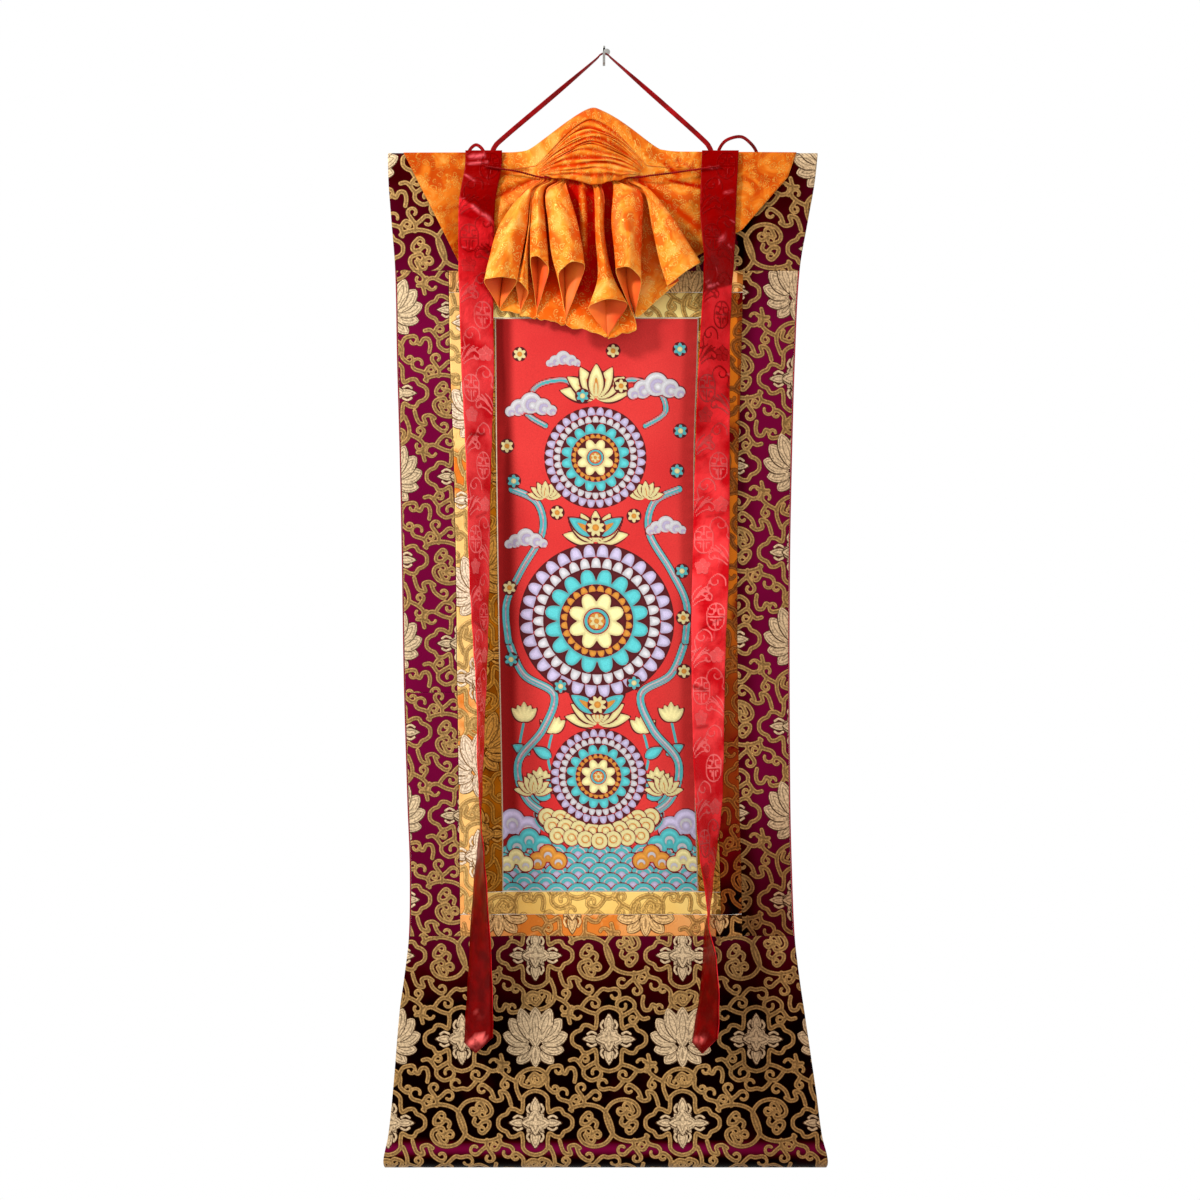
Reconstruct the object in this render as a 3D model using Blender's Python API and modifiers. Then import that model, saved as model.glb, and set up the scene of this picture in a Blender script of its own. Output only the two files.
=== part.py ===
"""Thangka scroll painting on a wall hook.

A painted cloth is sewn into gold borders and brocade panels.  The brocade is turned
round a thin rod at the top and a thick rod at the foot.  A silk veil is gathered up
under a cord, two red ribbons hang in front, and a narrow ribbon carries it all on a
small steel hook.  The origin is the hook's back, where it meets the wall: +Z is up and
the picture faces -Y.
"""
import math

import bmesh
import bpy
from mathutils import Vector

MM = 0.001          # every size and table below is in millimetres

SEAM = 0.3          # space left between pieces that are sewn together
BROCADE_T = 1.6     # thickness of the lined brocade and border strips
CANVAS_T = 1.2      # thickness of the painted cloth
VEIL_T = 1.0        # thickness of the silk veil
RIBBON_T = 1.2      # thickness of the doubled red ribbons
HANGER_T = 1.0      # thickness of the narrow hanging ribbon

TOP_Z = -122.4      # top edge of the mount, below the hook
FOOT_Z = -1341.6    # lowest line of the foot sleeve
TOP_SEAM_Z = -265.2     # top panel meets the side panels
LEFT_JOIN_Z = -771.0    # the left side panel is pieced here
FOOT_SEAM_Z = -1062.0   # foot panel meets the side panels
BORDER_W = 26.0     # width of one gold border strip
PICTURE_TOP_Z = -321.6
PICTURE_FOOT_Z = -1009.0

TOP_Y = -20.0       # middle of the cloth at the top, in front of the wall
FOOT_Y = -29.6      # and at the foot, where the thick rod keeps it off the wall
TOP_ROD_R = 6.0
FOOT_ROD_R = 12.5
ROD_END = 5.0       # each rod stops this far inside its sleeve
PIPING_W = 1.6      # red edging on both long sides

# Outline and seams of the mount at each height
OUTLINE = [
    # height, edge left, border left, picture left, picture right, border right, edge right
    (-110.0, -259.6, -186.6, -132.0, 115.0, 167.0, 258.0),
    (-160.0, -258.4, -186.4, -131.8, 114.9, 166.9, 252.6),
    (-205.0, -255.0, -186.2, -131.6, 114.8, 166.9, 244.6),
    (-265.0, -250.4, -186.0, -131.5, 114.7, 166.8, 234.6),
    (-372.0, -248.0, -184.4, -130.5, 112.2, 164.6, 228.8),
    (-480.0, -244.8, -180.3, -129.6, 108.8, 161.4, 225.4),
    (-612.0, -241.9, -177.3, -127.9, 108.6, 159.7, 222.8),
    (-751.0, -239.6, -175.6, -125.5, 109.2, 160.3, 222.0),
    (-900.0, -235.2, -173.4, -122.6, 110.0, 162.1, 222.8),
    (-979.0, -232.2, -172.5, -121.8, 112.0, 164.3, 224.6),
    (-1062.0, -233.2, -171.7, -121.6, 114.2, 165.4, 228.0),
    (-1110.0, -238.6, -171.7, -121.6, 114.2, 165.4, 233.4),
    (-1152.0, -244.4, -171.7, -121.6, 114.2, 165.4, 239.6),
    (-1248.0, -252.4, -171.7, -121.6, 114.2, 165.4, 253.6),
    (-1300.0, -258.0, -171.7, -121.6, 114.2, 165.4, 260.6),
    (-1328.0, -263.6, -171.7, -121.6, 114.2, 165.4, 267.4),
    (-1350.0, -264.2, -171.7, -121.6, 114.2, 165.4, 268.0),
]
EDGE_L, BORDER_L, PICTURE_L, PICTURE_R, BORDER_R, EDGE_R = range(1, 7)

# Long upright folds of the hanging cloth.  A positive rise comes towards the viewer.
FOLDS = [
    # seam it follows, distance from that seam, rise, half width
    (BORDER_L, 25.5, 6.0, 17.0),
    (PICTURE_L, 9.0, -3.0, 12.0),
    (PICTURE_R, 25.5, 5.0, 16.0),
    (BORDER_R, 5.0, -3.5, 12.0),
    (EDGE_L, 6.0, 3.0, 20.0),
    (EDGE_R, -6.0, 2.5, 20.0),
]
FOLDS_START = (-265.0, -450.0)   # the folds grow between these heights
FOLDS_END = (-1000.0, -1240.0)   # and die out between these
RIPPLE = 1.1                     # height of the slow unevenness all over

# Silk veil: its corners, and the two points where the cord gathers it
VEIL_TOP_Y = -21.8
VEIL_WING_Y = -25.0
VEIL_TIE_Y = -31.0
VEIL_CREASE = 2.2     # height of the creases that run out from the ties
VEIL_TOP_L, VEIL_TOP_R = (-240.6, -123.4), (231.0, -123.0)
VEIL_CORNER_L, VEIL_CORNER_R = (-172.8, -258.0), (167.0, -214.8)
TIE_L, TIE_R = (-75.6, -152.0), (42.0, -152.0)
DOME_L, DOME_R = (-90.0, -123.0), (66.0, -122.0)
DOME_TOP_Z = -70.8
SKIRT_TOP_Z = -159.5
SKIRT_BASE_Y = -27.5
SKIRT_ROWS = 9
DOME_COLUMNS = 16
WING_COLUMNS = 8
WING_ROWS = 10
WING_SPLIT = 0.4    # share of a wing's rows above the height of the ties

# Pleats of the gathered dome, from the top one down
PLEATS = [
    # crest height, depth in front of the tie, tuck behind the crest
    (-82.0, 3.0, 3.0),
    (-90.5, 7.0, 3.6),
    (-99.0, 10.0, 4.0),
    (-107.5, 12.5, 4.2),
    (-116.5, 14.5, 4.2),
    (-125.5, 15.5, 4.4),
    (-134.5, 15.5, 4.6),
    (-145.5, 14.0, 4.6),
]

# Flutes of the skirt below the cord, from left to right
FLUTES = [
    # tie x, hem x, width, hem at its crest, depth, tie x of the next valley, its hem
    (-72.0, -124.0, 37.0, -275.0, 31.0, -66.0, -315.0),
    (-62.0, -78.0, 22.0, -257.0, 25.0, -57.0, -324.0),
    (-49.0, -41.0, 30.0, -263.0, 37.0, -24.0, -342.0),
    (-12.0, -1.0, 36.0, -306.0, 35.0, 3.0, -347.0),
    (14.0, 33.0, 28.0, -267.0, 44.0, 27.0, -333.0),
    (32.0, 74.0, 42.0, -297.0, 40.0, 37.0, -284.0),
    (39.0, 109.0, 16.0, -263.0, 13.0, 42.0, -262.0),
]
SKIRT_START = (-75.6, -128.0, -313.0)   # left side of the skirt: tie x, hem x, hem height
SKIRT_END_X = 119.0
FLUTE_NECK = 0.24   # share of its width that a flute leaves open behind, on each side
FLUTE_ROUND = 0.035     # how far the steps between its nodes bulge

# Red ribbons: each hangs flat at the top and turns as it falls
RIBBON_W = 44.0
RIBBON_CLEAR = 2.6
RIBBON_TIP = 15.0
RIBBON_LEFT = [
    # height, centre x, turn in degrees
    (-121.5, -144.0, 0.0),
    (-142.0, -144.8, 0.0),
    (-187.0, -151.4, 15.0),
    (-258.0, -152.0, 15.0),
    (-305.0, -151.8, 28.0),
    (-372.0, -150.6, 31.0),
    (-463.0, -149.0, 47.0),
    (-539.0, -147.8, 56.0),
    (-612.0, -147.0, 60.0),
    (-691.0, -145.8, 68.0),
    (-772.0, -145.2, 79.0),
    (-851.0, -146.4, 85.0),
    (-924.0, -145.2, 94.0),
    (-960.0, -145.4, 104.0),
    (-1020.0, -145.6, 118.0),
    (-1100.0, -146.0, 132.0),
    (-1184.0, -148.8, 144.0),
]
RIBBON_RIGHT = [
    # height, centre x, turn in degrees
    (-121.5, 139.4, 0.0),
    (-142.0, 138.4, 0.0),
    (-194.0, 136.4, 10.0),
    (-250.0, 137.4, 32.0),
    (-295.0, 135.0, 37.0),
    (-340.0, 132.6, 35.0),
    (-420.0, 130.2, 26.0),
    (-499.0, 129.2, 18.0),
    (-612.0, 127.7, 4.0),
    (-712.0, 124.8, 20.0),
    (-811.0, 124.0, 30.0),
    (-900.0, 124.6, 42.0),
    (-970.0, 124.2, 64.0),
    (-1020.0, 125.3, 82.0),
    (-1050.0, 123.6, 94.0),
    (-1079.0, 126.0, 107.0),
    (-1129.0, 125.6, 118.0),
    (-1184.0, 120.0, 131.0),
]

# Narrow hanging ribbon: each run is sewn in under a red ribbon and passes over the hook
HANGER_W = 6.0
HANGER_ROUTE = [
    # x, y, height, how far its width is turned from facing the viewer to facing up
    (-131.0, -23.3, -136.0, 0.0),
    (-134.0, -23.3, -127.0, 0.0),
    (-131.0, -23.0, -117.0, 0.0),
    (-120.0, -22.2, -105.6, 0.0),
    (-70.0, -17.4, -62.0, 0.3),
    (-14.0, -11.4, -13.2, 0.85),
    (-4.6, -9.2, -3.6, 1.0),
    (0.0, -9.0, -1.6, 1.0),
    (4.6, -9.2, -3.6, 1.0),
    (14.0, -11.4, -12.6, 0.85),
    (70.0, -17.4, -63.0, 0.3),
    (116.0, -22.2, -105.6, 0.0),
    (126.0, -23.0, -117.0, 0.0),
    (129.0, -23.3, -127.0, 0.0),
    (127.0, -23.3, -136.0, 0.0),
]
# Two small loops left over from the hanging ribbon's knots
LOOP_W = 4.0
LOOP_T = 0.9
LOOP_LEFT = [
    # x, y, height
    (-163.0, -23.3, -131.0),
    (-162.0, -23.3, -123.0),
    (-158.0, -22.6, -117.0),
    (-153.0, -22.2, -114.4),
    (-147.6, -22.5, -117.6),
    (-143.6, -23.3, -124.0),
    (-142.6, -23.3, -131.0),
]
LOOP_RIGHT = [
    # x, y, height
    (137.0, -23.3, -131.0),
    (138.0, -22.9, -120.0),
    (147.0, -20.5, -108.4),
    (164.0, -15.0, -103.0),
    (176.0, -9.0, -109.0),
    (184.0, -4.0, -119.0),
    (187.0, -2.6, -134.0),
]
# Thin cord sewn to both red ribbons; it holds the gathered veil up
CORD_D = 2.4
CORD_ROUTE = [
    # x, y, height
    (-142.0, -27.7, -141.0),
    (-122.0, -28.6, -144.4),
    (-104.0, -30.6, -147.6),
    (-88.0, -33.2, -152.2),
    (-75.0, -34.2, -155.4),
    (-56.0, -33.8, -156.0),
    (-16.0, -33.8, -156.0),
    (24.0, -33.8, -156.0),
    (42.0, -34.2, -155.4),
    (55.0, -33.0, -153.2),
    (80.0, -30.6, -149.8),
    (112.0, -28.6, -144.8),
    (138.0, -27.7, -141.0),
]
CORD_STEPS = 3      # tube points between two route points

# Steel hook: a narrow plate on the wall, its lip, and the nail beside it
HOOK_W = 3.0
HOOK_T = 1.2
HOOK_SECTION = [
    # y, height of the strip's middle line: up the plate, round the foot, up the lip
    (-0.6, 10.0),
    (-0.6, -3.4),
    (-0.6, -5.4),
    (-2.0, -8.4),
    (-5.0, -9.6),
    (-9.0, -7.4),
    (-12.6, -4.6),
    (-14.6, 0.4),
]
NAIL_HEAD_R = 4.0
NAIL_HEAD_T = 0.9
NAIL_SHANK_R = 0.9
NAIL_X = 3.4
NAIL_Z = 2.2
NAIL_OUT = HOOK_T + SEAM + NAIL_HEAD_T  # its head holds the plate's edge to the wall

CLOTH_SIDES = 12    # steps round a rod for the sleeves


def value_at(table, column, height):
    """Smooth value of one column of a table whose first column runs downwards."""
    last = len(table) - 1
    if height >= table[0][0]:
        return table[0][column]
    if height <= table[last][0]:
        return table[last][column]
    i = next(k for k in range(last) if table[k + 1][0] <= height)
    low, high = table[i], table[i + 1]
    before, after = table[max(i - 1, 0)], table[min(i + 2, last)]
    span = high[0] - low[0]
    t = (height - low[0]) / span
    slope_low = (high[column] - before[column]) / (high[0] - before[0]) * span
    slope_high = (after[column] - low[column]) / (after[0] - low[0]) * span
    return ((2 * t**3 - 3 * t**2 + 1) * low[column] + (t**3 - 2 * t**2 + t) * slope_low
            + (3 * t**2 - 2 * t**3) * high[column] + (t**3 - t**2) * slope_high)


def mix(a, b, t):
    return a + (b - a) * t


def ease(t):
    t = min(max(t, 0.0), 1.0)
    return t * t * (3 - 2 * t)


def outline(column, height):
    return value_at(OUTLINE, column, height)


def lean(height):
    """Depth of the flat cloth: the thick foot rod pushes its lower end forward."""
    return mix(TOP_Y, FOOT_Y, min(max((TOP_Z - height) / (TOP_Z + 1310.0), 0.0), 1.0))


def cloth_y(x, height):
    """Depth of the cloth's middle, with its upright folds and slow ripples."""
    grow = ease((FOLDS_START[0] - height) / (FOLDS_START[0] - FOLDS_START[1]))
    fade = 1 - ease((FOLDS_END[0] - height) / (FOLDS_END[0] - FOLDS_END[1]))
    rise = RIPPLE * math.sin(height / 95 + x / 60) * math.cos(x / 80 - height / 210)
    for seam, distance, crest, half_width in FOLDS:
        offset = (x - outline(seam, height) - distance) / half_width
        rise += crest * math.exp(-offset * offset)
    return lean(height) - rise * grow * fade


def material(name, colour, roughness, metallic=0.0):
    mat = bpy.data.materials.new(name)
    mat.use_nodes = True
    shader = mat.node_tree.nodes["Principled BSDF"]
    shader.inputs["Base Color"].default_value = (*colour, 1.0)
    shader.inputs["Roughness"].default_value = roughness
    shader.inputs["Metallic"].default_value = metallic
    mat.diffuse_color = (*colour, 1.0)
    return mat


def add_object(name, mesh, mat):
    mesh.materials.append(mat)
    piece = bpy.data.objects.new(name, mesh)
    scroll.objects.link(piece)
    return piece


def closed_sheet(name, front, back, mat):
    """Solid between two grids of points, front and back, closed round the rim."""
    rows, columns = len(front), len(front[0])
    bm = bmesh.new()
    skin = [[[bm.verts.new(Vector(p) * MM) for p in row] for row in side]
            for side in (front, back)]
    for i in range(rows - 1):
        for j in range(columns - 1):
            for side in skin:
                bm.faces.new((side[i][j], side[i][j + 1], side[i + 1][j + 1], side[i + 1][j]))
    rim = ([(0, j) for j in range(columns)] + [(i, columns - 1) for i in range(1, rows)]
           + [(rows - 1, j) for j in range(columns - 2, -1, -1)]
           + [(i, 0) for i in range(rows - 2, 0, -1)])
    for (i, j), (k, m) in zip(rim, rim[1:] + rim[:1]):
        bm.faces.new((skin[0][i][j], skin[0][k][m], skin[1][k][m], skin[1][i][j]))
    bmesh.ops.recalc_face_normals(bm, faces=bm.faces)
    mesh = bpy.data.meshes.new(name)
    bm.to_mesh(mesh)
    bm.free()
    return add_object(name, mesh, mat)


def flat_panel(name, left, right, top, foot, columns, rows, thickness, mat):
    """Panel of the hanging cloth between two side lines, each a function of height."""
    front, back = [], []
    for i in range(rows + 1):
        height = mix(top, foot, i / rows)
        x_low, x_high = left(height), right(height)
        line = [mix(x_low, x_high, j / columns) for j in range(columns + 1)]
        front.append([(x, cloth_y(x, height) - thickness / 2, height) for x in line])
        back.append([(x, cloth_y(x, height) + thickness / 2, height) for x in line])
    return closed_sheet(name, front, back, mat)


def sleeve_section(rod_r, rod_z, flat_top, flat_steps, tail):
    """Middle line of a panel that ends in a sleeve: down its front, round, and sewn back.

    The line is for a rod below the panel.  Each point is (depth behind the front
    cloth, height), and the tail is the length sewn against the back of the panel.
    """
    radius = rod_r + SEAM + BROCADE_T / 2
    section = [(0.0, mix(flat_top, rod_z, k / flat_steps)) for k in range(flat_steps)]
    for k in range(CLOTH_SIDES + 1):
        angle = math.radians(265) * k / CLOTH_SIDES
        section.append((radius - radius * math.cos(angle), rod_z - radius * math.sin(angle)))
    behind = BROCADE_T + SEAM
    section.append((behind + 0.4 * radius, rod_z + radius * 1.18))
    section.append((behind, rod_z + radius * 1.75))
    section.append((behind, rod_z + radius * 1.75 + tail))
    return section


def sleeved_panel(name, section, left, right, columns, mat):
    """Loft of a sleeve section across the width, with its thickness on both sides."""
    front, back = [], []
    for i, (behind, height) in enumerate(section):
        after = section[min(i + 1, len(section) - 1)]
        before = section[max(i - 1, 0)]
        run = Vector((after[0] - before[0], after[1] - before[1])).normalized()
        out = Vector((run.y, -run.x)) * BROCADE_T / 2
        row = []
        for j in range(columns + 1):
            x = mix(left(height), right(height), j / columns)
            row.append((x, cloth_y(x, height) + behind, height))
        front.append([(x, y + out.x, z + out.y) for x, y, z in row])
        back.append([(x, y - out.x, z - out.y) for x, y, z in row])
    return closed_sheet(name, front, back, mat)


def ribbon_strip(name, centres, across, out, widths, thickness, mat, edge_rows=None):
    """Flat strip along a line of centres; across and out are its width and thickness ways."""
    front, back = [], []
    for i, (centre, side, normal, width) in enumerate(zip(centres, across, out, widths)):
        shift = edge_rows[i] if edge_rows else (0.0, 0.0, 0.0)
        row = []
        for place, drop in zip((-0.5, 0.0, 0.5), shift):
            row.append(Vector(centre) + Vector(side) * width * place + Vector((0, 0, drop)))
        half = Vector(normal) * thickness / 2
        front.append([tuple(p + half) for p in row])
        back.append([tuple(p - half) for p in row])
    return closed_sheet(name, front, back, mat)


def hanging_ribbon(name, table, mat):
    """Red ribbon that turns about its own length, its rear edge just clear of the cloth."""
    centres, across, out, widths, drops = [], [], [], [], []
    heights = []
    for row, following in zip(table, table[1:]):
        heights += [row[0], (row[0] + following[0]) / 2]
    heights.append(table[-1][0])
    for height in heights:
        turn = math.radians(max(value_at(table, 2, height), 0.0))
        x = value_at(table, 1, height)
        settle = ease((table[1][0] - height) / 30.0)
        rear = mix(-25.1, min(cloth_y(x, height) - BROCADE_T / 2 - RIBBON_CLEAR, -28.9), settle)
        centres.append((x, rear - RIBBON_W / 2 * math.sin(turn), height))
        across.append((math.cos(turn), math.sin(turn), 0.0))
        out.append((math.sin(turn), -math.cos(turn), 0.0))
        widths.append(RIBBON_W)
        drops.append((0.0, 0.0, 0.0))
    # The lower end is folded to a point
    x, y, height = centres[-1]
    for share, fall, point in ((0.99, 9.0, 6.0), (0.2, 12.0, RIBBON_TIP)):
        centres.append((x + 1.0, y, height - fall))
        across.append(across[-1])
        out.append(out[-1])
        widths.append(RIBBON_W * share)
        drops.append((0.0, -point * 0.5, 0.0))
    return ribbon_strip(name, centres, across, out, widths, RIBBON_T, mat, drops)


def narrow_strip(name, route, width, thickness, mat, steps):
    """Narrow ribbon along a route; a fourth column turns its width towards the wall."""
    spline = []
    for i in range((len(route) - 1) * steps + 1):
        k, t = divmod(i, steps)
        spline.append(curve_point(route, k, t / steps))
    centres, across, out = [], [], []
    for i, point in enumerate(spline):
        ahead = spline[min(i + 1, len(spline) - 1)]
        behind = spline[max(i - 1, 0)]
        run = Vector(a - b for a, b in zip(ahead[:3], behind[:3])).normalized()
        turn = point[3] if len(point) > 3 else 0.0
        flat_side = run.cross(Vector((0, 1, 0))).normalized()
        deep_side = run.cross(flat_side).normalized()
        side = (flat_side * (1 - turn) + deep_side * turn).normalized()
        centres.append(point[:3])
        across.append(side)
        out.append(run.cross(side).normalized())
    widths = [width] * len(centres)
    return ribbon_strip(name, centres, across, out, widths, thickness, mat)


def curve_point(route, k, t):
    """Point on a smooth curve through the route, between its points k and k + 1."""
    last = len(route) - 1
    if k >= last:
        return route[last]
    p0, p1, p2, p3 = route[max(k - 1, 0)], route[k], route[k + 1], route[min(k + 2, last)]
    return tuple(0.5 * (2 * b + (c - a) * t + (2 * a - 5 * b + 4 * c - d) * t * t
                        + (3 * b - a - 3 * c + d) * t**3)
                 for a, b, c, d in zip(p0, p1, p2, p3))


def tube(name, route, diameter, mat):
    """Cord as a bevelled curve through a smooth line of the route's points."""
    points = []
    for i in range((len(route) - 1) * CORD_STEPS + 1):
        k, t = divmod(i, CORD_STEPS)
        points.append(curve_point(route, k, t / CORD_STEPS))
    curve = bpy.data.curves.new(name, "CURVE")
    curve.dimensions = "3D"
    curve.bevel_depth = diameter / 2 * MM
    curve.bevel_resolution = 2
    curve.use_fill_caps = True
    spline = curve.splines.new("POLY")
    spline.points.add(len(points) - 1)
    for slot, point in zip(spline.points, points):
        slot.co = (*(Vector(point) * MM), 1.0)
    return add_object(name, curve, mat)


def rod(name, x_low, x_high, y, z, radius, mat):
    bm = bmesh.new()
    bmesh.ops.create_cone(bm, cap_ends=True, segments=16, radius1=radius * MM,
                          radius2=radius * MM, depth=(x_high - x_low) * MM)
    mesh = bpy.data.meshes.new(name)
    bm.to_mesh(mesh)
    bm.free()
    piece = add_object(name, mesh, mat)
    piece.rotation_euler = (0.0, math.radians(90), 0.0)
    piece.location = (Vector(((x_low + x_high) / 2, y, z))) * MM
    mesh.shade_smooth()
    mesh.set_sharp_from_angle(angle=math.radians(40))
    return piece


def dome_arch(power, s):
    """Height share of an arched pleat: 0 at both ties, 1 a little left of the middle."""
    return math.sin(math.pi * min(max(s, 0.0), 1.0) ** 0.96) ** power


def dome_rows():
    """Rows of the gathered dome: up behind it, over its top, and down its pleats."""
    rows = [
        # height in the middle, its end's share of the way to the tie, end depth, depth, arch
        (TOP_Z - 3.0, 0.0, VEIL_TOP_Y, VEIL_TOP_Y, 1.0),
        (mix(TOP_Z, DOME_TOP_Z, 0.45), 0.0, -23.2, -22.6, 1.2),
        (mix(TOP_Z, DOME_TOP_Z, 0.86), 0.0, -24.6, -24.2, 1.24),
        (DOME_TOP_Z, 0.0, -26.0, -28.0, 1.25),
        (DOME_TOP_Z - 3.4, 0.05, -27.2, -32.0, 1.22),
    ]
    count = len(PLEATS)
    for k, (height, depth, tuck) in enumerate(PLEATS):
        share = 0.16 + 0.8 * (k / count) ** 0.7
        after = PLEATS[k + 1][0] if k + 1 < count else TIE_L[1] + 1.5
        power = mix(1.15, 0.72, k / (count - 1))
        y = VEIL_TIE_Y - depth
        edge_y = mix(-27.2, VEIL_TIE_Y, share)
        rows.append((height, share, edge_y, y, power))
        rows.append((mix(height, after, 0.34), share + 0.015, edge_y, y + tuck, power))
    rows.append((TIE_L[1], 1.0, VEIL_TIE_Y, VEIL_TIE_Y, 1.0))
    lines = []
    for height, share, edge_y, y, power in rows:
        # The rows behind the dome end side by side along the top edge
        aside = 2.0 * max(edge_y - mix(VEIL_TOP_Y, VEIL_TIE_Y, 0.45), 0.0)
        ends = [(mix(start[0], finish[0], share) + way * aside, mix(start[1], finish[1], share))
                for start, finish, way in ((DOME_L, TIE_L, -1), (DOME_R, TIE_R, 1))]
        line = []
        for j in range(DOME_COLUMNS + 1):
            s = j / DOME_COLUMNS
            up = dome_arch(power, s)
            bulge = dome_arch(0.7, s)
            x = mix(ends[0][0], ends[1][0], s)
            z_end = mix(ends[0][1], ends[1][1], s)
            line.append((x, mix(edge_y, y, bulge), mix(z_end, height, up)))
        lines.append(line)
    return lines


def skirt_columns():
    """Columns of the skirt as (tie x, hem x, hem height, depth), five nodes to a flute.

    A flute is a tube that is open below: its sides turn back behind it, and a flat
    valley joins it to the next one.
    """
    start_tie, start_hem, start_z = SKIRT_START
    nodes = [(start_tie, start_hem, start_z, 0.0)]
    for k, (tie_x, hem_x, width, crest_z, depth, tie_valley, valley_z) in enumerate(FLUTES):
        before = nodes[-1]
        left, right = hem_x - width / 2, hem_x + width / 2
        side_left, side_right = mix(crest_z, before[2], 0.38), mix(crest_z, valley_z, 0.38)
        nodes.append((mix(before[0], tie_x, 0.5), left, side_left, depth * 0.55))
        nodes.append((tie_x, hem_x, crest_z, depth))
        nodes.append((mix(tie_x, tie_valley, 0.5), right, side_right, depth * 0.55))
        if k + 1 == len(FLUTES):
            nodes.append((tie_valley, SKIRT_END_X, valley_z, 0.0))
        else:
            following = FLUTES[k + 1]
            nodes.append((tie_valley - 0.8, hem_x + width * FLUTE_NECK, valley_z, 0.0))
            nodes.append((tie_valley + 0.8, following[1] - following[2] * FLUTE_NECK,
                          valley_z, 0.0))
    columns = []
    last = len(nodes) - 1
    for k in range(last):
        columns.append(nodes[k])
        before, after = nodes[max(k - 1, 0)], nodes[min(k + 2, last)]
        middle = [(b + c) / 2 + (b - a + c - d) * FLUTE_ROUND
                  for a, b, c, d in zip(before, nodes[k], nodes[k + 1], after)]
        if nodes[k][3] == 0.0 or nodes[k + 1][3] == 0.0:
            # The hem stays low beside a valley and climbs further out
            hems = nodes[k][2], nodes[k + 1][2]
            middle[2] = mix(min(hems), max(hems), 0.25)
        columns.append(tuple(middle))
    columns.append(nodes[-1])
    return columns


def skirt_rows():
    rows = []
    for i in range(SKIRT_ROWS + 1):
        t = i / SKIRT_ROWS
        row = []
        for tie_x, hem_x, hem_z, depth in skirt_columns():
            spread = t ** 0.72
            swell = 0.02 + 0.98 * math.sin(t * math.pi / 2) ** 0.8
            y = mix(VEIL_TIE_Y, SKIRT_BASE_Y, ease(t * 1.6)) - depth * swell
            row.append((mix(tie_x, hem_x, spread), y, mix(SKIRT_TOP_Z, hem_z, t)))
        rows.append(row)
    return rows


def wing_columns(top_far, corner, inner_column, tie):
    """Columns of one flat wing, from its free side in to the gathered column."""
    top_near, hem_near = inner_column[0], inner_column[-1]
    columns = []
    for i in range(WING_COLUMNS):
        w = i / WING_COLUMNS
        top = (mix(top_far[0], top_near[0], w), mix(top_far[1], top_near[2], w))
        hem = (mix(corner[0], hem_near[0], w), mix(corner[1], hem_near[2], w))
        pinch = (mix(mix(top_far[0], corner[0], 0.3), tie[0], w),
                 mix(mix(top_far[1], corner[1], 0.3), tie[1], w))
        column = []
        for k in range(WING_ROWS + 1):
            t = k / WING_ROWS
            if t < WING_SPLIT:
                x, z = (mix(a, b, t / WING_SPLIT) for a, b in zip(top, pinch))
            else:
                x, z = (mix(a, b, (t - WING_SPLIT) / (1 - WING_SPLIT))
                        for a, b in zip(pinch, hem))
            flat = mix(VEIL_TOP_Y, VEIL_WING_Y, ease((-152.0 - z) / 28.0))
            gathered = mix(VEIL_TOP_Y, VEIL_TIE_Y, ease(t / WING_SPLIT))
            if t > WING_SPLIT:
                gathered = mix(VEIL_TIE_Y, SKIRT_BASE_Y, (t - WING_SPLIT) / (1 - WING_SPLIT))
            angle = math.atan2(z - tie[1], abs(x - tie[0]) + 8.0)
            crease = (VEIL_CREASE * (0.5 + 0.5 * math.sin(angle * 9.0))
                      * ease((-146.0 - z) / 20.0) * math.sin(math.pi * min(t * 1.4, 1.0))
                      * ease((1 - w) * 4))
            column.append((x, mix(flat, gathered, w ** 7) - crease, z))
        columns.append(column)
    return columns


def zip_lines(bm, first, second):
    """Triangles between two lines of vertices, each across the shorter way."""
    i = j = 0
    while i < len(first) - 1 or j < len(second) - 1:
        if i == len(first) - 1:
            take_first = False
        elif j == len(second) - 1:
            take_first = True
        else:
            take_first = ((first[i + 1].co - second[j].co).length
                          <= (second[j + 1].co - first[i].co).length)
        if take_first:
            bm.faces.new((first[i], first[i + 1], second[j]))
            i += 1
        else:
            bm.faces.new((first[i], second[j + 1], second[j]))
            j += 1


def grid_faces(bm, lines):
    for upper, lower in zip(lines, lines[1:]):
        for a, b, c, d in zip(upper, upper[1:], lower[1:], lower):
            bm.faces.new((a, b, c, d))


def make_veil(mat):
    """One cloth: two flat wings, the pleated dome between them and the fluted skirt."""
    bm = bmesh.new()
    dome = [[bm.verts.new(Vector(p) * MM) for p in line] for line in dome_rows()]
    skirt = [[bm.verts.new(Vector(p) * MM) for p in line] for line in skirt_rows()]
    grid_faces(bm, dome)
    grid_faces(bm, skirt)
    zip_lines(bm, dome[-1], skirt[0])
    for side, top_far, corner, tie in ((0, VEIL_TOP_L, VEIL_CORNER_L, TIE_L),
                                       (-1, VEIL_TOP_R, VEIL_CORNER_R, TIE_R)):
        inner = [line[side] for line in dome + skirt]
        places = [tuple(v.co / MM) for v in inner]
        wing = [[bm.verts.new(Vector(p) * MM) for p in column]
                for column in wing_columns(top_far, corner, places, tie)]
        grid_faces(bm, wing)
        zip_lines(bm, wing[-1], inner)
    bmesh.ops.recalc_face_normals(bm, faces=bm.faces)
    mesh = bpy.data.meshes.new("veil")
    bm.to_mesh(mesh)
    bm.free()
    veil = add_object("veil", mesh, mat)
    wall = veil.modifiers.new("cloth thickness", "SOLIDIFY")
    wall.thickness = VEIL_T * MM
    wall.offset = 0.0
    return veil


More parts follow.
